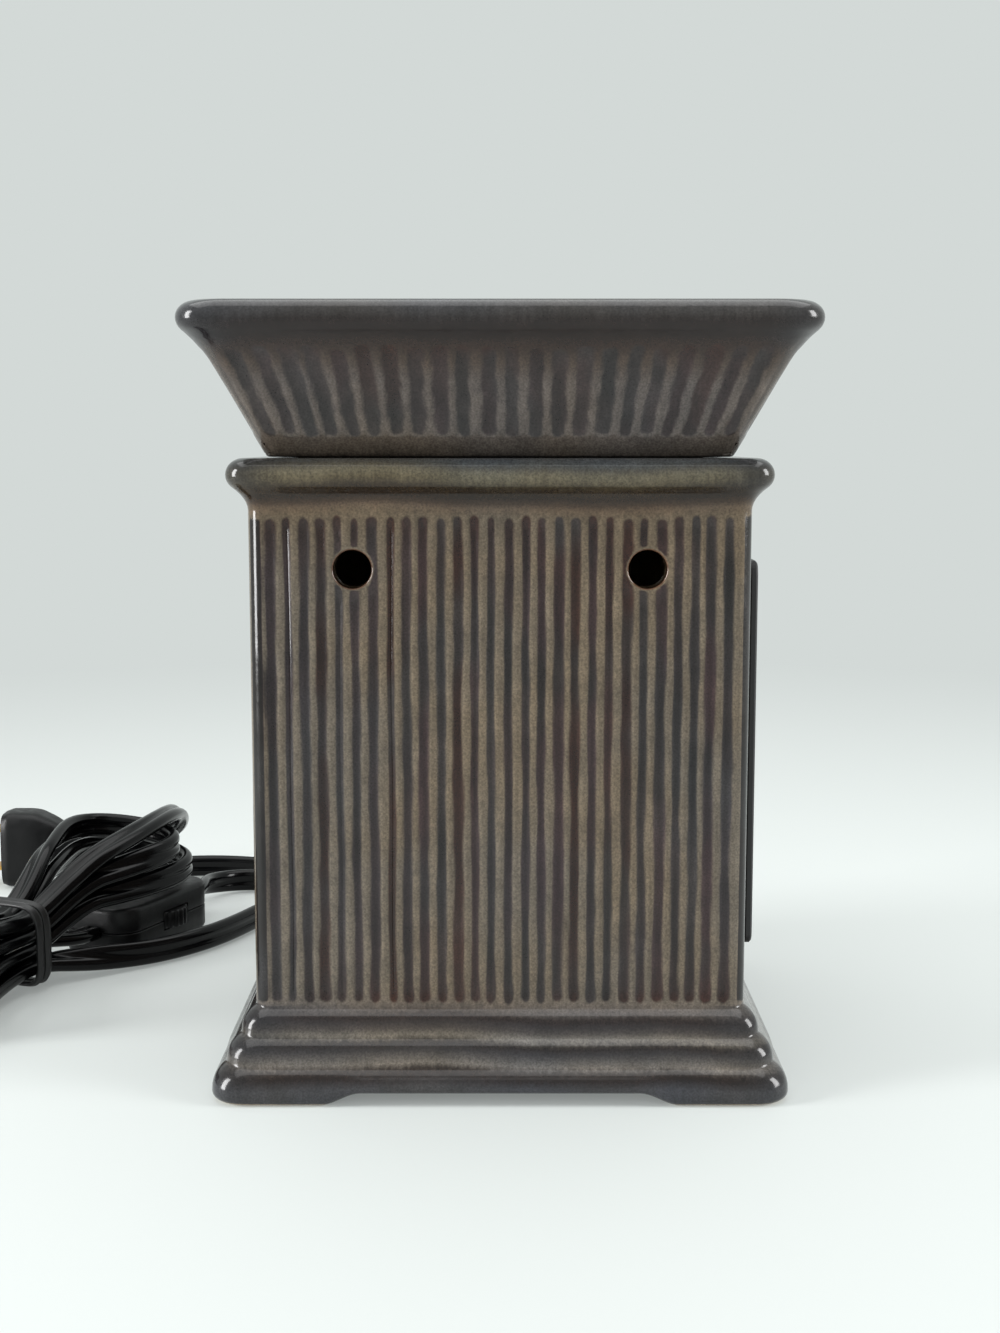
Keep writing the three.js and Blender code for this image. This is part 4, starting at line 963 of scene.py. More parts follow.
def housing_rings():
    """Rings of the housing: the profile carried round, the flutes pushed in and the arches lifted."""
    half, height = housing_profile().T
    corner = housing_corner(half, height)
    ends = corner_middle(half, corner)[:, None]
    wall_end = corner_middle(BODY_HALF, BODY_CORNER)
    places, number, loose = fluted_places(HOUSING_FLUTES, wall_end)
    wall = ((half == BODY_HALF) & (height <= COLUMN_TOP) & (height >= BASE_HEIGHT))[:, None]
    tall = np.repeat(height[:, None], len(places), axis=1)
    across = []
    push = []
    for side in range(4):
        sway = np.where(loose, aside(looks(HOUSING_FLUTES, side, number), tall), 0)
        place = np.where(wall, places + sway, places / wall_end * ends)
        depth = trough(HOUSING_FLUTES, housing_flute(place, tall, side)[0], tall)
        if side in VENT_SIDES:
            depth = depth * smooth(vent_distance(place, tall), VENT_RIM, VENT_RIM + VENT_FADE)
        across.append(place)
        push.append(np.where(wall, -FLUTE_DEPTH * depth, 0.0))
    rings = square_rings(half, height, corner, across, push)
    along = np.minimum(np.abs(rings[..., 0]), np.abs(rings[..., 1]))
    low = (half > BODY_HALF - BODY_WALL)[:, None] & (rings[..., 2] < ARCH_REACH)
    rings[..., 2] += np.where(low, arch_lift(along) * (1 - rings[..., 2] / ARCH_REACH), 0)
    return rings


def vent_cutter(side):
    """A round hole through both walls, its lips opened by a quarter round."""
    face = BODY_HALF + VENT_PROUD
    lip = arc(VENT_RIM, face - VENT_LIP, VENT_LIP, 180, 96, 7)
    half = np.concatenate((lip, ((VENT_RIM, face + CUT_PAST),)))
    x, z, y = np.moveaxis(lathe(np.concatenate((half[::-1] * (1, -1), half)), HOLE_SIDES), -1, 0)
    return closed_skin(np.stack((x + side * VENT_OFFSET, y, z + VENT_HEIGHT), axis=-1))


def notch_cutter():
    """The way out for the cord at +Y: an arch-topped block through the foot of the base."""
    corners = arc(NOTCH_HALF - NOTCH_ROUND, NOTCH_TOP - NOTCH_ROUND, NOTCH_ROUND, 0, 90, 5)
    right = np.concatenate((((NOTCH_HALF, -CUT_PAST),), corners))
    outline = np.concatenate((right, right[::-1] * (-1, 1)))
    depth = np.array((BODY_HALF - BODY_WALL - 3, BASE_HALF + CUT_PAST))[:, None]
    return closed_skin(np.stack(np.broadcast_arrays(outline[:, 0], depth, outline[:, 1]), axis=-1))


def rod(radius, low, high, sides):
    """Rings of a round rod."""
    return lathe(((radius, low), (radius, high)), sides)


def paint_housing(piece):
    """Writes where each point lies in its flute, the pooled colour there with painted shade down the column's
    corners, and the clay of the bare feet, the inside and the tan lip of the vents, with painted shade on the
    upright corners and in the vent bores."""
    points, side, across, out = places_of(piece)
    height = points[:, 2]
    place, number = flute_places(housing_flute, side, across, height)
    look = looks(HOUSING_FLUTES, side, number)
    breath = 1 + BREATH * np.sin(height / BREATH_RUN + BREATH_PHASE * look["phase"])
    swell = 1 + SWELL * np.exp(-(((height - FLUTE_LOW - SWELL_RISE) / SWELL_RUN) ** 2))
    # Painted shade, partly darker glaze, down the column's corners: the flutes give way to a near-black
    # strip, wider on the side of negative across
    shade_from = BODY_HALF - BODY_CORNER + np.where(across > 0, CORNER_SHADE_FROM[1], CORNER_SHADE_FROM[0])
    in_corner_shade = smooth(np.abs(across), shade_from, shade_from + CORNER_SHADE_FADE)
    place[:, 0] *= (1 - in_corner_shade) / (breath * swell)
    from_end = np.minimum(height - FLUTE_LOW, FLUTE_HIGH - height)
    pool = groove_colours(look["tone"], np.exp(-np.maximum(from_end, 0) / END_RUN))
    inside = (out < BODY_HALF - INSIDE_DEPTH) & (height < HOUSING_TOP - 1)
    foot = (1 - smooth(height, *FOOT_FADE)) * (out > SKIRT_HALF - 1)
    from_vent = vent_distance(points[:, 0], height)
    depth = BODY_HALF - np.abs(points[:, 1])
    lip = (from_vent < VENT_RADIUS + LIP_REACH * VENT_LIP) & (depth > LIP_SUNK) & (depth < VENT_LIP)
    # Painted shade: the inner wall of each vent is painted near black
    bore = (from_vent < VENT_RADIUS + BORE_REACH) & (depth < BODY_WALL - BORE_SHORT)
    on_roll = CORNER_SHADE_ROLL * smooth(height, *ROLL_FADE)
    # Painted slate shade at the upright corners of the base and of the rolled rim
    corner_shade = corner_share(across, out) * np.where(height < BASE_HEIGHT, CORNER_SHADE_BASE, on_roll)
    bare = mix(BARE_CLAY, CORNER_SHADE_SLATE, 1 - foot)
    for chosen, colour in ((inside, INSIDE), (lip, VENT_TAN), (bore, VENT_BORE_SHADE)):
        bare[chosen] = colour
    place[:, 2] = np.where(inside | bore, 1.0, np.maximum.reduce((foot, corner_shade, LIP_SHARE * lip)))
    paint(piece, place=place, pool=mix(pool, COLUMN_CORNER_SHADE, in_corner_shade), bare=bare)


housing_skin = closed_skin(housing_rings())
housing = add_piece("housing_shell", housing_skin, "body", housing_glaze, "glaze", None, "housing")
pipe_cutter = closed_skin(rod(PIPE_HOLE, FLOOR_BOTTOM - 1, FLOOR_TOP + 1, PIPE_SIDES))
cut_away(housing, [vent_cutter(-1), vent_cutter(1), notch_cutter(), pipe_cutter], 50)
paint_housing(housing)


# Wax dish


def dish_half(height):
    """Half width of the straight flared wall at a height."""
    return DISH_BOTTOM_HALF + DISH_SLOPE * (height - DISH_BOTTOM)


def on_wall(heights):
    """Profile points on the straight flared wall."""
    return np.column_stack((dish_half(heights), heights))


def dish_profile():
    """Half widths and heights from the floor of the well, up its wall, over the rolled rim, down the cove and
    the flared wall, and round the foot that sits in the mouth of the housing to the underside."""
    wall_across = DISH_WALL * math.hypot(1, DISH_SLOPE)
    well_floor = DISH_BOTTOM + DISH_FLOOR
    well_top = well_floor + DISH_WELL_ROUND
    well = dish_half(well_floor) - wall_across
    well_start = dish_half(well_top) - wall_across
    roll_half = DISH_HALF - DISH_ROLL
    roll_height = DISH_TOP - DISH_ROLL
    roll_edge = DISH_ROLL * AT_45
    well_end = (roll_half - DISH_ROLL - DISH_WELL_EDGE[0], roll_height - DISH_WELL_EDGE[1])
    wall_top = DISH_TOP - DISH_WALL_DROP
    cove_height = DISH_TOP - DISH_COVE_DROP
    cove_pull = (dish_half(wall_top) + DISH_SLOPE * (cove_height - wall_top), cove_height)
    faded = DISH_FLUTE_LOW + DISH_FLUTE_FADE
    foot_inner = DISH_FOOT_HALF - DISH_FOOT_WALL
    foot_low = DISH_BOTTOM - DISH_FOOT_DEPTH
    seat = DISH_BOTTOM - DISH_SEAT_EDGE
    round_half = DISH_BOTTOM_HALF - DISH_BOTTOM_INSET
    round_height = DISH_BOTTOM + DISH_BOTTOM_ROUND
    parts = [
        np.linspace((FLOOR_START, well_floor), (well - DISH_WELL_ROUND, well_floor), 3),
        bow((well - DISH_WELL_ROUND, well_floor), (well, well_floor), (well_start, well_top), 7),
        np.linspace((well_start + 1, well_top + 1 / DISH_SLOPE), well_end, 4),
        arc(roll_half, roll_height, DISH_ROLL, 180, -45, 21),
        bow((roll_half + roll_edge, roll_height - roll_edge), cove_pull, (dish_half(wall_top), wall_top), 14),
        on_wall(np.linspace(wall_top - DISH_ROW_GAP, faded + 1, 10)),
        on_wall(np.linspace(faded, DISH_FLUTE_LOW - FLUTE_EASE, 8)),
        on_wall(DISH_BOTTOM + np.array(DISH_LOW_ROWS)),
        arc(round_half, round_height, DISH_BOTTOM_ROUND, -30, -90, 4),
        ((DISH_FOOT_HALF + DISH_SEAT_EDGE, DISH_BOTTOM), (DISH_FOOT_HALF, seat)),
        ((DISH_FOOT_HALF, foot_low + DISH_FOOT_EDGE), (DISH_FOOT_HALF - DISH_FOOT_EDGE, foot_low)),
        ((foot_inner + DISH_FOOT_EDGE, foot_low), (foot_inner, foot_low + DISH_FOOT_EDGE)),
        ((foot_inner, seat), (FLOOR_START, DISH_BOTTOM)),
    ]
    return without_doubles(parts)


def dish_corner(half):
    """Corner radius in plan: small at the foot of the wall, larger at the rim, the mouth's further in."""
    opened = DISH_BOTTOM_CORNER + DISH_CORNER_OPENING * np.maximum(half - DISH_BOTTOM_HALF, 0)
    return np.where(half < MOUTH_HALF, MOUTH_CORNER, np.minimum(opened, DISH_CORNER))


def fanned(across, height):
    """Places across at the flutes' middle height carried to another height: the outer flutes lean with the
    flare, by the square of their share of the span."""
    share = across / DISH_FLUTE_SPAN
    lean = DISH_FLUTE_FAN * DISH_SLOPE * share * np.abs(share)
    return across + lean * (np.clip(height, DISH_FLUTE_LOW, DISH_FLUTE_HIGH) - DISH_FLUTE_MIDDLE)


def dish_flute(across, height, side):
    """Where a place lies in its flute, after three steps of taking its own lean from it."""
    place = across
    for _ in range(3):
        place = place + across - fanned(place, height)
    return in_flute(DISH_FLUTES, place, height, side)


def dish_rings():
    """Rings of the dish: the profile carried round, with the flutes of the outer wall pushed in."""
    half, height = dish_profile().T
    corner = dish_corner(half)
    ends = corner_middle(half, corner)[:, None]
    middle_half = dish_half(DISH_FLUTE_MIDDLE)
    middle_end = corner_middle(middle_half, dish_corner(middle_half))
    places, number, loose = fluted_places(DISH_FLUTES, middle_end)
    proud = (half - dish_half(height))[:, None]
    on_flare = (height > DISH_BOTTOM + DISH_BOTTOM_ROUND) & (height < DISH_TOP - DISH_COVE_DROP + 1)
    wall = (proud > -DISH_WALL_NEAR) & on_flare[:, None]
    tall = np.repeat(height[:, None], len(places), axis=1)
    flute_depth = DISH_FLUTE_DEPTH / math.hypot(1, DISH_SLOPE) + np.maximum(proud, 0)
    last = places[np.flatnonzero(loose)[-1]]
    tip = fanned(np.full(len(height), last), height)[:, None]
    beyond_last = np.sign(places) * (tip + (ends - tip) * (np.abs(places) - last) / (middle_end - last))
    across = []
    push = []
    for side in range(4):
        still = places + np.where(loose, aside(looks(DISH_FLUTES, side, number), 0.0), 0.0)
        on_side = np.where(loose, fanned(still, tall), beyond_last)
        from_middle, _, _ = in_flute(DISH_FLUTES, np.broadcast_to(still, tall.shape), tall, side)
        across.append(np.where(wall, on_side, places / middle_end * ends))
        push.append(np.where(wall, -flute_depth * trough(DISH_FLUTES, from_middle, tall) * loose, 0.0))
    return square_rings(half, height, corner, across, push)


def paint_dish(piece):
    """Writes where each point lies in its flute, the pooled colour there, darkened as painted shade on the
    flared wall, the brown of the well, and painted slate shade at the corners towards the rim.
    """
    points, side, across, out = places_of(piece)
    height = points[:, 2]
    place, number = flute_places(dish_flute, side, across, height)
    at_top = np.exp(-np.maximum(DISH_FLUTE_HIGH - height, 0) / DISH_END_RUN)
    pool = groove_colours(looks(DISH_FLUTES, side, number)["tone"], at_top)
    well = (out < dish_half(height) - WELL_DEPTH) & (height > DISH_BOTTOM + 1)
    well = well * (1 - smooth(height, *WELL_FADE))
    # The well's brown, and painted slate shade at the corners towards the rim
    place[:, 2] = np.maximum(well, CORNER_SHADE_DISH * corner_share(across, out) * smooth(height, *DISH_RIM_FADE))
    # Below the flutes' tops the pooled glaze is darkened as painted shade on the down-facing flared wall
    pool = mix(pool, DISH_POOL_AND_SHADE, DISH_POOL_AND_SHADE_SHARE * (1 - at_top))
    paint(piece, place=place, pool=pool, bare=mix(CORNER_SHADE_SLATE, WELL_BROWN, well))


dish = add_piece("dish_shell", closed_skin(dish_rings()), "dish", dish_glaze, "dish_glaze", 60, "wax_dish")
paint_dish(dish)


# Bulb and plate pad


def bulb_glass():
    """The globe as a closed shell: down the outside from the crown to the neck, and back up the inside."""
    crown = CAP_TOP + NECK_RISE - GLOBE_RADIUS * math.sin(math.radians(GLOBE_FOOT_ANGLE))
    walls = []
    for inset in (0, GLOBE_WALL):
        neck = NECK_RADIUS - inset
        globe = arc(0, crown, GLOBE_RADIUS - inset, GLOBE_FOOT_ANGLE, 90, 30)
        shoulder = bow((neck, CAP_TOP), (neck, (CAP_TOP + globe[0, 1]) / 2), globe[0], 8)
        walls.append(np.concatenate((((neck, CAP_TOP - NECK_IN_CAP),), shoulder, globe[1:-1])))
    top = crown + GLOBE_RADIUS
    rings = lathe(np.concatenate((walls[0][::-1], walls[1])), GLOBE_SIDES)
    return closed_skin(rings, ((0, 0, top), (0, 0, top - GLOBE_WALL)))


def rounded_outline(half_long, half_wide, corner, steps):
    """Outline of a rectangle with round corners: even angles about each corner's middle, in turn."""
    turns = np.radians(np.linspace(0, 90, steps))[None] + np.arange(4)[:, None] * np.pi / 2
    along = np.array((1, -1, -1, 1))[:, None] * (half_long - corner) + corner * np.cos(turns)
    across = np.array((1, 1, -1, -1))[:, None] * (half_wide - corner) + corner * np.sin(turns)
    return np.column_stack((along.ravel(), across.ravel()))


def pad_rings():
    """Rings through the pad's thickness, their outline let out at the middle by a half sine."""
    low, high = np.array(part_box("plate_pad")) / MM
    middle = (low + high) / 2
    rings = []
    for share in np.linspace(0, 1, 7):
        half = PAD_HALF - PAD_BULGE * (1 - math.sin(math.pi * share))
        outline = rounded_outline(half, half, PAD_CORNER, 8) + middle[1:]
        rings.append(np.column_stack((np.full(len(outline), low[0] + (high[0] - low[0]) * share), outline)))
    return np.array(rings)


add_piece("bulb_globe", bulb_glass(), "bulb", finishes["clear_glass"], "clear_glass", None, "bulb_glass")
pad = add_piece("foam_pad", closed_skin(pad_rings()), "body", finishes["foam"], "foam", 40, "plate_pad")


# Cord


def from_hank(points):
    """From the hank's own axes, along and across its runs, to the table; height and turn stay."""
    points = np.asarray(points, float)
    flat = HANK_CENTRE + points[..., :1] * HANK_AXIS + points[..., 1:2] * HANK_SIDE
    return np.concatenate((flat, points[..., 2:]), axis=-1)


def on_edge(places):
    """Points of a route where the cord stands on its edge on the table."""
    return [(*place, EDGE_HEIGHT, 1) for place in places]


def spline(points, fine):
    """A uniform cubic spline drawn by its hand points, from the first of them to the last."""
    points = np.asarray(points, float)
    hand = np.concatenate((2 * points[:1] - points[1:2], points, 2 * points[-1:] - points[-2:-1]))
    place = np.linspace(0, len(points) - 1, fine)
    before = np.minimum(place.astype(int), len(points) - 2)
    f = (place - before)[:, None]
    weights = ((1 - f) ** 3, 3 * f**3 - 6 * f**2 + 4, 3 * f + 3 * f**2 - 3 * f**3 + 1, f**3)
    return sum(weight * hand[before + k] for k, weight in enumerate(weights)) / 6


def hank_points(angle):
    """The dumbbell: reach times cosine along, a bow times sine across, drawn in at the tie by the cosine
    squared, climbing a layer on the switch side."""
    turns = (angle + np.pi / 2) / (2 * np.pi)
    loop = np.floor(turns)
    layer = loop - 1 + smooth(turns - loop, 0, 0.5)
    ahead = np.cos(angle)
    along = ahead * np.where(ahead > 0, HANK_REACH - HANK_REACH_STEP * loop, HANK_BACK)
    waist = HANK_WAIST / HANK_BOW
    across = HANK_BOW * np.sin(angle) * (waist + (1 - waist) * ahead**2)
    away = np.abs(along)
    tip = np.where(ahead > 0, HANK_REACH_HEIGHT, HANK_BACK_HEIGHT)
    height = HANK_WAIST_HEIGHT + (tip - HANK_WAIST_HEIGHT) * smooth(away, 0, HANK_RISE_RUN)
    step = HANK_WAIST_STEP + (HANK_TIP_STEP - HANK_WAIST_STEP) * smooth(away, 0, HANK_FAN_RUN)
    edge = smooth(away, 0, HANK_EDGE_RUN)
    return from_hank(np.column_stack((along, across, height + layer * step, edge)))


def beyond(first, second, distances):
    """Points straight on past the second of two, with its turn."""
    step = (second - first)[:3] / np.linalg.norm((second - first)[:3])
    return np.array([(*(second[:3] + distance * step), second[3]) for distance in distances])


def lead_route():
    """From the strain relief round the back, through the tie to a fold, back through the tie, along the front
    of the switch and round into its far end."""
    behind = [(0, GLAND_END + FIT, GLAND_HEIGHT, 0), (0, GLAND_END + 10, GLAND_HEIGHT, 0), (-3, 113, 5, 0.5)]
    behind += on_edge(LEAD_BEHIND)
    back = [(along, -across, height, turn) for along, across, height, turn in reversed(LEAD_FOLD)]
    tied = on_edge(LEAD_TO_TIE) + [(18, 16.5, 5, 0.7), (8, 6.4, 5.8, 0.1), *LEAD_FOLD]
    tied += on_edge(LEAD_FOLD_TIP) + [*back, (8, -6.2, 5.8, 0.1), (18, -13.6, 4.9, 0.7)]
    tied += on_edge(LEAD_FROM_TIE) + [(101, 5, 4.8, 0.8), (92, 1, 6.6, 0.4)]
    tied.append((SWITCH_END + 8, SWITCH_ACROSS + 0.1, SWITCH_MIDDLE, 0))
    tied.append((SWITCH_END + FIT, SWITCH_ACROSS, SWITCH_MIDDLE, 0))
    return spline(np.concatenate((behind, from_hank(tied))), LEAD_FINE)


def supply_route():
    """From the switch's near end into the tie, round the loops of the hank and on to the plug."""
    stop = 2 * np.pi * HANK_LOOPS - HANK_STOP
    loops = hank_points(np.linspace(HANK_START, stop, LOOP_FINE))
    step = (stop - HANK_START) / round(HANK_STEPS * (stop - HANK_START) / (2 * np.pi))
    first = hank_points(HANK_START + np.array((0, 1)) * step)
    last = hank_points(stop - np.array((1, 0)) * step)
    link = [(along, SWITCH_ACROSS, SWITCH_MIDDLE, 0) for along in (SWITCH_START - FIT, SWITCH_START - 7)]
    link.append((17, 0.5, 8.8, 0))
    entry = [(*(PLUG_ENTRY + (along, 0, 0)), 1) for along in (12, FIT)]
    into = np.concatenate((from_hank(link), beyond(first[1], first[0], (10, 0.5))))
    out_of = np.concatenate((beyond(last[0], last[1], (0.5, 10)), from_hank(SUPPLY_TAIL), entry))
    return np.concatenate((spline(into, LINK_FINE), loops, spline(out_of, TAIL_FINE)))


def even(route, step):
    """The route with even steps along it, and its length."""
    reach = np.r_[0, np.cumsum(np.linalg.norm(np.diff(route[:, :3], axis=0), axis=1))]
    places = np.linspace(0, reach[-1], int(reach[-1] / step) + 1)
    columns = [np.interp(places, reach, route[:, axis]) for axis in range(route.shape[1])]
    return np.column_stack(columns), reach[-1]


def unit(vectors):
    """Vectors brought to length 1."""
    return vectors / np.linalg.norm(vectors, axis=1, keepdims=True)


def swept(route, across, up, level, normal):
    """An outline carried along a route: across times the level and up times the normal at each place."""
    return route[:, None, :3] + across[:, None] * level[:, None] + up[:, None] * normal[:, None]


def twin_section():
    """Outline of a flat twin cord: two round cores side by side, with a shallow valley on both faces."""
    angle = even_angles(CORD_SIDES)
    core = CORD_THICKNESS / 2
    wide = CORD_WIDTH / 2 * np.cos(angle)
    offset = CORD_WIDTH / 2 - core
    lobe = np.sqrt(np.maximum(core**2 - np.maximum(np.abs(wide) - offset, 0) ** 2, 0))
    valley = CORD_VALLEY[0] * core * np.exp(-((wide / (CORD_VALLEY[1] * offset)) ** 2))
    return wide, np.sign(np.sin(angle)) * (lobe - valley)


def cord_rings(route):
    """The twin outline carried along a route: across is level, turned about the route as each place asks."""
    along = unit(np.gradient(route[:, :3], axis=0))
    level = unit(np.cross((0, 0, 1), along))
    turn = route[:, 3:4] * np.pi / 2
    wide = level * np.cos(turn) + np.cross(along, level) * np.sin(turn)
    return swept(route, *twin_section(), wide, np.cross(along, wide))


def add_cord(name, route, far_end, lay, with_pieces, *solids):
    """A cord's mesh along even steps of its route, and what it stands for."""
    places, length_along = even(route, CORD_STEP)
    cord = add_piece(name, closed_skin(cord_rings(places)), "body", finishes["vinyl"], "vinyl", None, *solids)


def inner_rings():
    """A round lead from the strain relief level under the floor, round a quarter circle and straight up into
    the lamp pipe: X and the route's own normal times cosine and sine."""
    low, high = np.array(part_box("inner_cord")) / MM
    radius = (high[0] - low[0]) / 2
    level = low[2] + radius
    bend = arc(INNER_BEND, level + INNER_BEND, INNER_BEND, -90, -180, INNER_PLACES)
    flat = np.concatenate((((high[1], level),), bend, ((0, high[2]),)))
    route, _ = even(np.column_stack((np.zeros(len(flat)), flat)), INNER_STEP)
    sideways = np.broadcast_to((1.0, 0, 0), route.shape)
    normal = np.cross(unit(np.gradient(route, axis=0)), sideways)
    angle = even_angles(CORD_SIDES)
    return swept(route, radius * np.cos(angle), radius * np.sin(angle), sideways, normal)


def oval_rings(stations, power, sides):
    """Rings of places along, half across and half up, times a root of the cosine and of the sine."""
    along, across, up = np.array(stations, float).T[..., None]
    angle = even_angles(sides)
    wide = across * squared(np.cos(angle), 2 / power)
    return np.stack(np.broadcast_arrays(along, wide, up * squared(np.sin(angle), 2 / power)), axis=-1)


def softened(stations, step, reach):
    """Stations at even steps along, the sharp turns between them rounded by a running mean."""
    table = np.array(stations, float)
    along = np.arange(table[0, 0], table[-1, 0] + step / 2, step)
    window = np.ones(2 * reach + 1) / (2 * reach + 1)
    columns = [along]
    for column in (1, 2):
        plain = np.pad(np.interp(along, table[:, 0], table[:, column]), reach, mode="edge")
        columns.append(np.convolve(plain, window, mode="valid"))
    return np.column_stack(columns)


def gland_rings():
    """The strain relief: two flanges with a neck between them in the wall, then a taper with cut ribs."""
    low, high = np.array(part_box("strain_relief")) / MM
    outer = BASE_HALF + FIT
    along = np.linspace(outer + TAPER_START, high[1], RIB_ROWS * GLAND_RIBS)
    share = (along - along[0]) / (along[-1] - along[0])
    wave = smooth(np.cos(2 * np.pi * GLAND_RIBS * share), *RIB_STEP)
    rib = GLAND_RIB * wave * smooth(1 - share, 0, RIB_FADE)
    taper = np.column_stack((along, *(start - fall * share + rib for start, fall in TAPER)))
    flanges = (np.array(INNER_FLANGE) + (low[1], 0, 0), np.array(OUTER_FLANGE) + (outer, 0, 0))
    rings = oval_rings(np.concatenate((*flanges, taper)), GLAND_POWER, GLAND_SIDES)
    return np.stack((rings[..., 1], rings[..., 0], rings[..., 2] + GLAND_HEIGHT), axis=-1)


def on_switch(points):
    """From the switch's own axes, measured from its middle, to the table."""
    return from_hank(points + np.array(((SWITCH_START + SWITCH_END) / 2, SWITCH_ACROSS, SEAT)))


def switch_rings(bottom, top, low_round, high_round):
    """A rounded rectangle carried up, drawn in at both edges by quarter circles."""
    rings = []
    quarter = np.linspace(0, np.pi / 2, 6)
    drawn = [(low_round * (1 - math.sin(a)), bottom + low_round * (1 - math.cos(a))) for a in quarter]
    drawn += [(high_round * (1 - math.cos(a)), top - high_round * (1 - math.sin(a))) for a in quarter]
    for inset, height in drawn:
        half_long = SWITCH_LENGTH / 2 - inset
        outline = rounded_outline(half_long, SWITCH_WIDTH / 2 - inset, SWITCH_CORNER - inset, 10)
        rings.append(np.column_stack((outline, np.full(len(outline), height))))
    return on_switch(np.array(rings))


def switch_hole(along, across, radius, low, high):
    """A cutter for a round hole in the switch."""
    return closed_skin(on_switch(rod(radius, low, high, HOLE_SIDES) + np.array((along, across, 0))))


def wheel_rings():
    """The thumb wheel: a disc whose rim follows a soft step of a cosine, drawn in at both edges."""
    angle = even_angles(TOOTH_PLACES * WHEEL_TEETH)
    wave = smooth(np.cos(WHEEL_TEETH * angle), *TOOTH_STEP)
    rim = WHEEL_RADIUS - WHEEL_TOOTH * (1 - wave)
    half = WHEEL_THICKNESS / 2
    inset, drop = np.array(WHEEL_EDGE).T
    reach = rim - np.concatenate((inset, inset[::-1]))[:, None]
    height = SWITCH_HEIGHT / 2 + np.concatenate((drop - half, half - drop[::-1]))[:, None]
    rings = np.stack(np.broadcast_arrays(reach * np.cos(angle), reach * np.sin(angle), height), axis=-1)
    return on_switch(rings + np.array((WHEEL_ALONG, WHEEL_ACROSS, 0)))


def tie_rings():
    """Two turns of a flat strip round the waist: a squared-off circle that moves on along the hank, and
    across it a rounded strip with a wire raised along its outer face."""
    angle = np.linspace(-np.pi / 2, 2 * np.pi * TIE_TURNS - np.pi / 2, TIE_FINE)
    cosine = squared(np.cos(angle), TIE_SQUARENESS)
    sine = squared(np.sin(angle), TIE_SQUARENESS)
    along = np.linspace(-0.5, 0.5, len(angle)) * TIE_PITCH * TIE_TURNS
    turns = np.column_stack((TIE_HALF[0] * cosine, TIE_HALF[1] * sine, along, cosine, sine))
    route, _ = even(turns, TIE_STEP)
    turn = even_angles(TIE_SIDES)
    side = TIE_STRIP[0] / 2 * squared(np.cos(turn), STRIP_SQUARENESS)
    thick = TIE_STRIP[1] / 2 * (1 + squared(np.sin(turn), STRIP_SQUARENESS))
    thick = thick + TIE_WIRE[0] * np.exp(-((side / TIE_WIRE[1]) ** 2)) * (np.sin(turn) > 0)
    across = route[:, :1] + thick * route[:, 3:4]
    up = TIE_HEIGHT + route[:, 1:2] + thick * route[:, 4:5]
    return from_hank(np.stack(np.broadcast_arrays(route[:, 2:3] + side, across, up), axis=-1))


def plug_rings():
    """The plug: a squared oval that swells from the cord to the flat face, its shoulders rounded."""
    return PLUG_ENTRY + oval_rings(softened(PLUG_STATIONS, *PLUG_SOFT), PLUG_POWER, PLUG_SIDES) * (-1, 1, 1)


def fitting(name, rings, body, finish, slot, solid, sharp=40):
    """A piece of the cord over rings that stands for one solid."""
    return add_piece(name, closed_skin(rings), body, finishes[finish], slot, sharp, solid)


seam = SWITCH_HEIGHT / 2
wheel_reach = WHEEL_THICKNESS / 2 + FIT
wheel_span = (seam - wheel_reach, seam + wheel_reach)
base_rings = switch_rings(0, seam - SEAT / 2, SWITCH_ROUND, SWITCH_SEAM)
cover_rings = switch_rings(seam + SEAT / 2, SWITCH_HEIGHT, SWITCH_SEAM, SWITCH_ROUND)
wheel_room = switch_hole(WHEEL_ALONG, WHEEL_ACROSS, WHEEL_RADIUS + FIT, *wheel_span)
screw_hole = switch_hole(SWITCH_SCREW_ALONG, 0, SWITCH_SCREW_HOLE[0], -1, SWITCH_SCREW_HOLE[1])

fitting("inner_lead", inner_rings(), "body", "vinyl", "vinyl", "inner_cord")
fitting("strain_relief_boot", gland_rings(), "body", "moulded", "vinyl", "strain_relief")
tie = fitting("wire_tie", tie_rings(), "body", "tie_film", "tie_film", "twist_tie")
plug = fitting("plug_moulding", plug_rings(), "body", "moulded", "vinyl", "plug_body")
wheel = fitting("ribbed_wheel", wheel_rings(), "thumb_wheel", "moulded", "switch_plastic", "switch_wheel", 50)
switch_foot = fitting("switch_foot", base_rings, "body", "moulded", "switch_plastic", "switch_base")
switch_lid = fitting("switch_lid", cover_rings, "body", "moulded", "switch_plastic", "switch_cover")
cut_away(switch_foot, [wheel_room, screw_hole], 40)
cut_away(switch_lid, [wheel_room], 40)

switch_pieces = [switch_foot, switch_lid, wheel, nodes["switch_axle"], nodes["switch_screw"]]
plug_pieces = [plug, nodes["plug_blade_lower"], nodes["plug_blade_upper"], tie]
add_cord("lead_cord", lead_route(), "fitting", "loose", switch_pieces, "cord_lead")
add_cord("supply_cord", supply_route(), "plug", "coiled", plug_pieces, "cord_link", "cord_hank", "cord_tail")


# Floor, light and camera


def seen_straight(tree):
    """1 for the camera's own rays and for those that come by a mirror or through glass, otherwise 0."""
    rays = wire(tree, "LightPath", {}).node.outputs
    mirrored = maths(tree, "MAXIMUM", rays["Is Camera Ray"], rays["Is Glossy Ray"])
    return maths(tree, "MAXIMUM", mirrored, rays["Is Transmission Ray"])


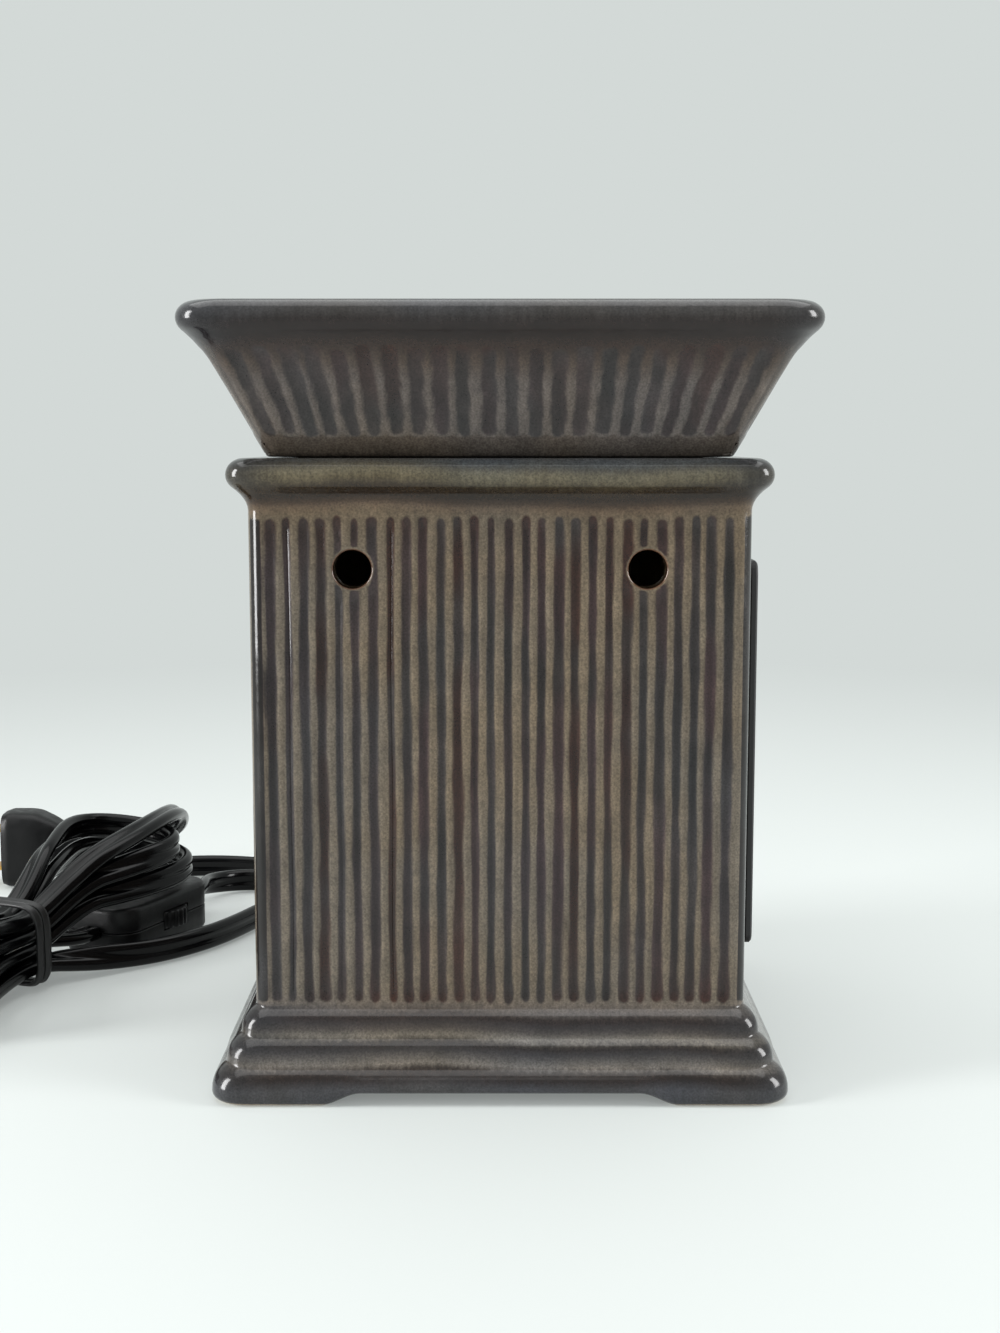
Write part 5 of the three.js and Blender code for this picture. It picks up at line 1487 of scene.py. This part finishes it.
def pale_floor():
    """A flat round floor: a radius times cosine and sine of even angles. Seen straight on or mirrored it
    turns with distance into the even pale grey of the sky; near the object it keeps its shadows."""
    finish, tree, shader = new_finish("floor_paint")
    paint_colour = rgba(linear(*FLOOR_COLOUR))
    feed(tree, shader, {"Base Color": paint_colour, "Roughness": 0.7, "Specular IOR Level": 0.2})
    glow = wire(tree, "Emission", {"Color": rgba(linear(*SKY_COLOUR))}, "Emission")
    faded = spread(tree, length(tree, own_place(tree)), *GLOW_RUN, *GLOW_SHARE)
    share = maths(tree, "MULTIPLY", faded, seen_straight(tree))
    surface = wire(tree, "MixShader", {0: share, 1: shader.outputs["BSDF"], 2: glow}, "Shader")
    feed(tree, tree.nodes["Material Output"], {"Surface": surface})
    angle = even_angles(FLOOR_SIDES)
    points = FLOOR_RADIUS / MM * np.column_stack((np.cos(angle), np.sin(angle), np.zeros(len(angle))))
    new_object("floor", points, [list(range(len(angle)))], finish)


def soft_light(name, place, target, size, power, mirrored):
    """A wide lamp that looks at a target."""
    lamp = bpy.data.lights.new(name, "AREA")
    lamp.shape = "RECTANGLE"
    lamp.size, lamp.size_y = size
    lamp.energy = power
    holder = bpy.data.objects.new(name, lamp)
    bpy.context.scene.collection.objects.link(holder)
    away = np.array(place) - np.array(target)
    holder.location = place
    flat = math.hypot(away[0], away[1])
    holder.rotation_euler = (math.atan2(flat, away[2]), 0, math.atan2(away[0], -away[1]))
    holder.visible_glossy = mirrored


def studio():
    """A dim soft sky, which is pale where it is seen straight on or mirrored, a wide light above, a wide low
    fill in front and behind that gives no glare, and a tall window at each side for the edges."""
    world = bpy.data.worlds.new("studio")
    bpy.context.scene.world = world
    world.use_nodes = True
    tree = world.node_tree
    strength = spread(tree, seen_straight(tree), 0, 1, SKY_LIGHT, 1)
    feed(tree, tree.nodes["Background"], {"Color": rgba(linear(*SKY_COLOUR)), "Strength": strength})
    for light in LIGHTS:
        soft_light(*light)


def photo_camera():
    """The camera at the photograph's place, tilted a little down."""
    lens = bpy.data.cameras.new("camera")
    lens.lens = CAMERA_LENS
    lens.sensor_width = SENSOR
    lens.clip_start = 0.01
    camera = bpy.data.objects.new("camera", lens)
    camera.location = CAMERA_PLACE
    camera.rotation_euler = (math.radians(90 - CAMERA_PITCH), 0, 0)
    bpy.context.scene.collection.objects.link(camera)
    bpy.context.scene.camera = camera


pale_floor()
studio()
photo_camera()
bpy.context.scene.view_settings.view_transform = "Standard"
